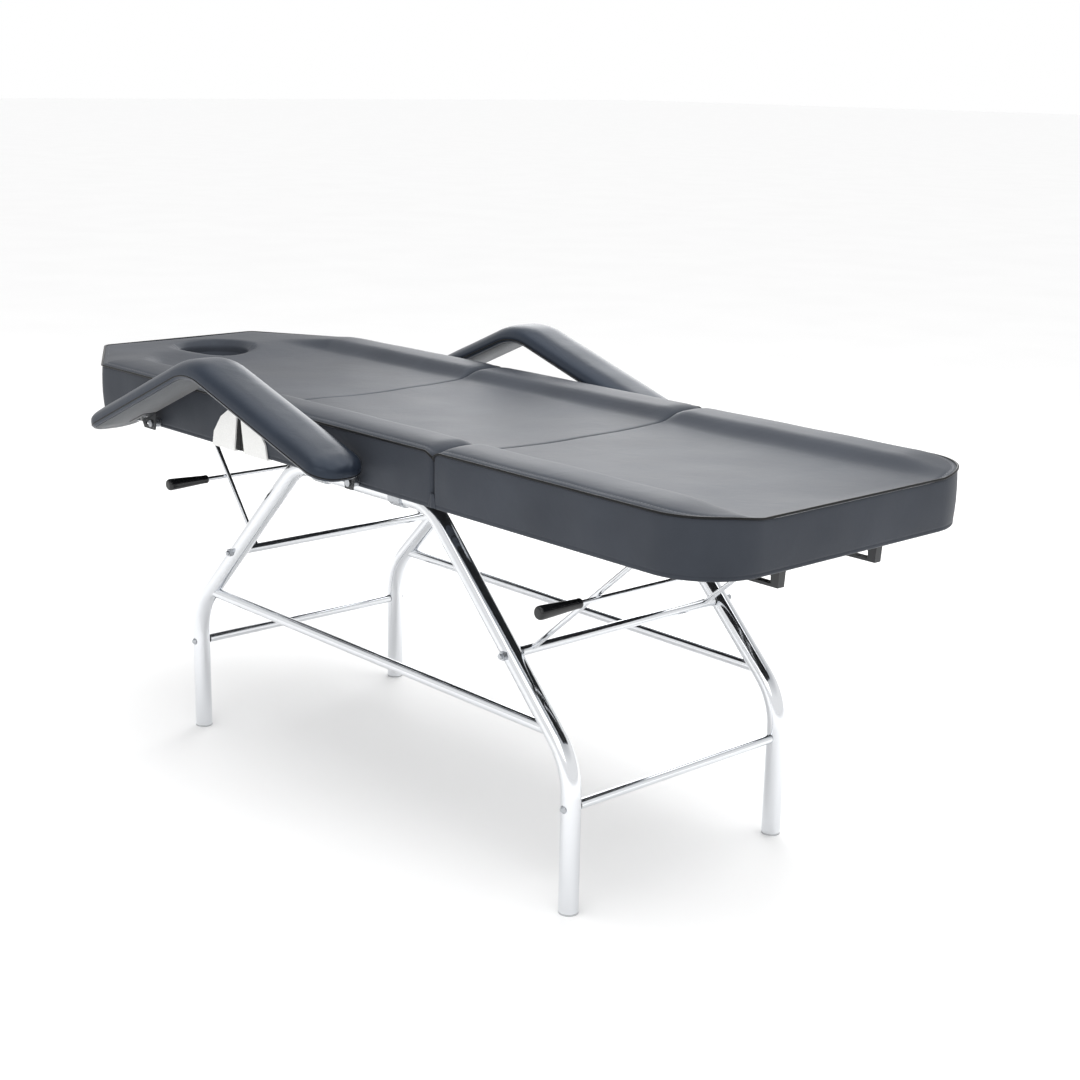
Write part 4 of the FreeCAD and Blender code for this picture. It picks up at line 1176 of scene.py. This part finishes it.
class BED_OT_folds(bpy.types.Operator):
    """Set the pleated vinyl folds into the slots beside the hinges"""
    bl_idname = "bed.folds"
    bl_label = "Hinge folds"

    def execute(self, context):
        sizes = context.scene.bed_sizes
        for word, side in SIDES:
            back = fold_shell(BACK_SEAM, side, BACK_SLOT_TOP, BACK_SLOT, sizes.pleats)
            piece = new_object(f"back_seam_fold_{word}", back, finish_of("piping"), None)
            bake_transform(piece)
            legs = fold_shell(LEG_SEAM, side, LEG_SLOT_TOP, LEG_SLOT, LEG_PLEATS)
            piece = new_object(f"leg_seam_fold_{word}", legs, finish_of("leather"), None)
            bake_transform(piece)
        return {"FINISHED"}


class BED_OT_armrests(bpy.types.Operator):
    """Cover both armrests, with their linings and piping"""
    bl_idname = "bed.armrests"
    bl_label = "Armrests"

    def execute(self, context):
        sizes = context.scene.bed_sizes
        for word, side in SIDES:
            body = f"armrest_{word}"
            cover = new_object(body + "_cover", armrest_shell(side, sizes), finish_of("arm_leather"), body)
            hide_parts(body + "_pad")
            new_object(body + "_lining", lining_shell(side), finish_of("lining"), body)
            line = [arm_place(point.x, point.y, ARM_WELT_UP, side)
                    for point in arm_outline(ARM_WELT_INSET)]
            run_curve(body + "_piping", [line], ARM_WELT, finish_of("piping"), body, True)
        return {"FINISHED"}


class BED_OT_grips(bpy.types.Operator):
    """Mould the handle grips of the two prop frames"""
    bl_idname = "bed.grips"
    bl_label = "Handle grips"

    def execute(self, context):
        for prop in ("head_prop", "foot_prop"):
            piece = new_object(prop + "_moulded_grip", grip_shell(prop + "_grip"), finish_of("grip"), prop)
            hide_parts(prop + "_grip")
        return {"FINISHED"}


class BED_OT_finishes(bpy.types.Operator):
    """Give every part of the frame its plated, painted, wooden or moulded finish"""
    bl_idname = "bed.finishes"
    bl_label = "Frame finishes"

    def execute(self, context):
        finishes = {"chrome_tube": "chrome", "zinc_steel": "zinc", "white_steel": "plate",
                    "black_steel": "rack", "black_plastic": "grip", "grey_plastic": "cap",
                    "plywood": "wood", "black_upholstery": "leather", "arm_upholstery": "arm_leather"}
        for row in frame["record"]["subparts"]:
            part = frame["nodes"][row["node"]]
            if not part.material_slots:
                part.data.materials.append(None)
            for slot in part.material_slots:
                slot.material = finish_of(finishes[row["material_slot"]])
        return {"FINISHED"}


class BED_PT_panel(bpy.types.Panel):
    """Lists the steps that build the treatment bed"""
    bl_idname = "BED_PT_panel"
    bl_label = "Treatment Bed"
    bl_space_type = "VIEW_3D"
    bl_region_type = "UI"
    bl_category = "Treatment Bed"

    def draw(self, context):
        for operator in STEPS:
            self.layout.operator(operator.bl_idname)
        for group in (context.scene.bed_sizes, context.scene.bed_colours):
            for name in group.__annotations__:
                self.layout.prop(group, name)


STEPS = (BED_OT_stage, BED_OT_sections, BED_OT_piping, BED_OT_stitches, BED_OT_folds, BED_OT_armrests,
         BED_OT_grips, BED_OT_finishes)
CLASSES = (BedSizes, BedColours, *STEPS, BED_PT_panel)


def register():
    for item in CLASSES:
        bpy.utils.register_class(item)
    bpy.types.Scene.bed_sizes = PointerProperty(type=BedSizes)
    bpy.types.Scene.bed_colours = PointerProperty(type=BedColours)


def unregister():
    del bpy.types.Scene.bed_colours
    del bpy.types.Scene.bed_sizes
    for item in reversed(CLASSES):
        bpy.utils.unregister_class(item)


def main():
    register()
    bpy.ops.bed.stage()
    bpy.ops.bed.sections()
    bpy.ops.bed.piping()
    bpy.ops.bed.stitches()
    bpy.ops.bed.folds()
    bpy.ops.bed.armrests()
    bpy.ops.bed.grips()
    bpy.ops.bed.finishes()


if __name__ == "__main__":
    main()
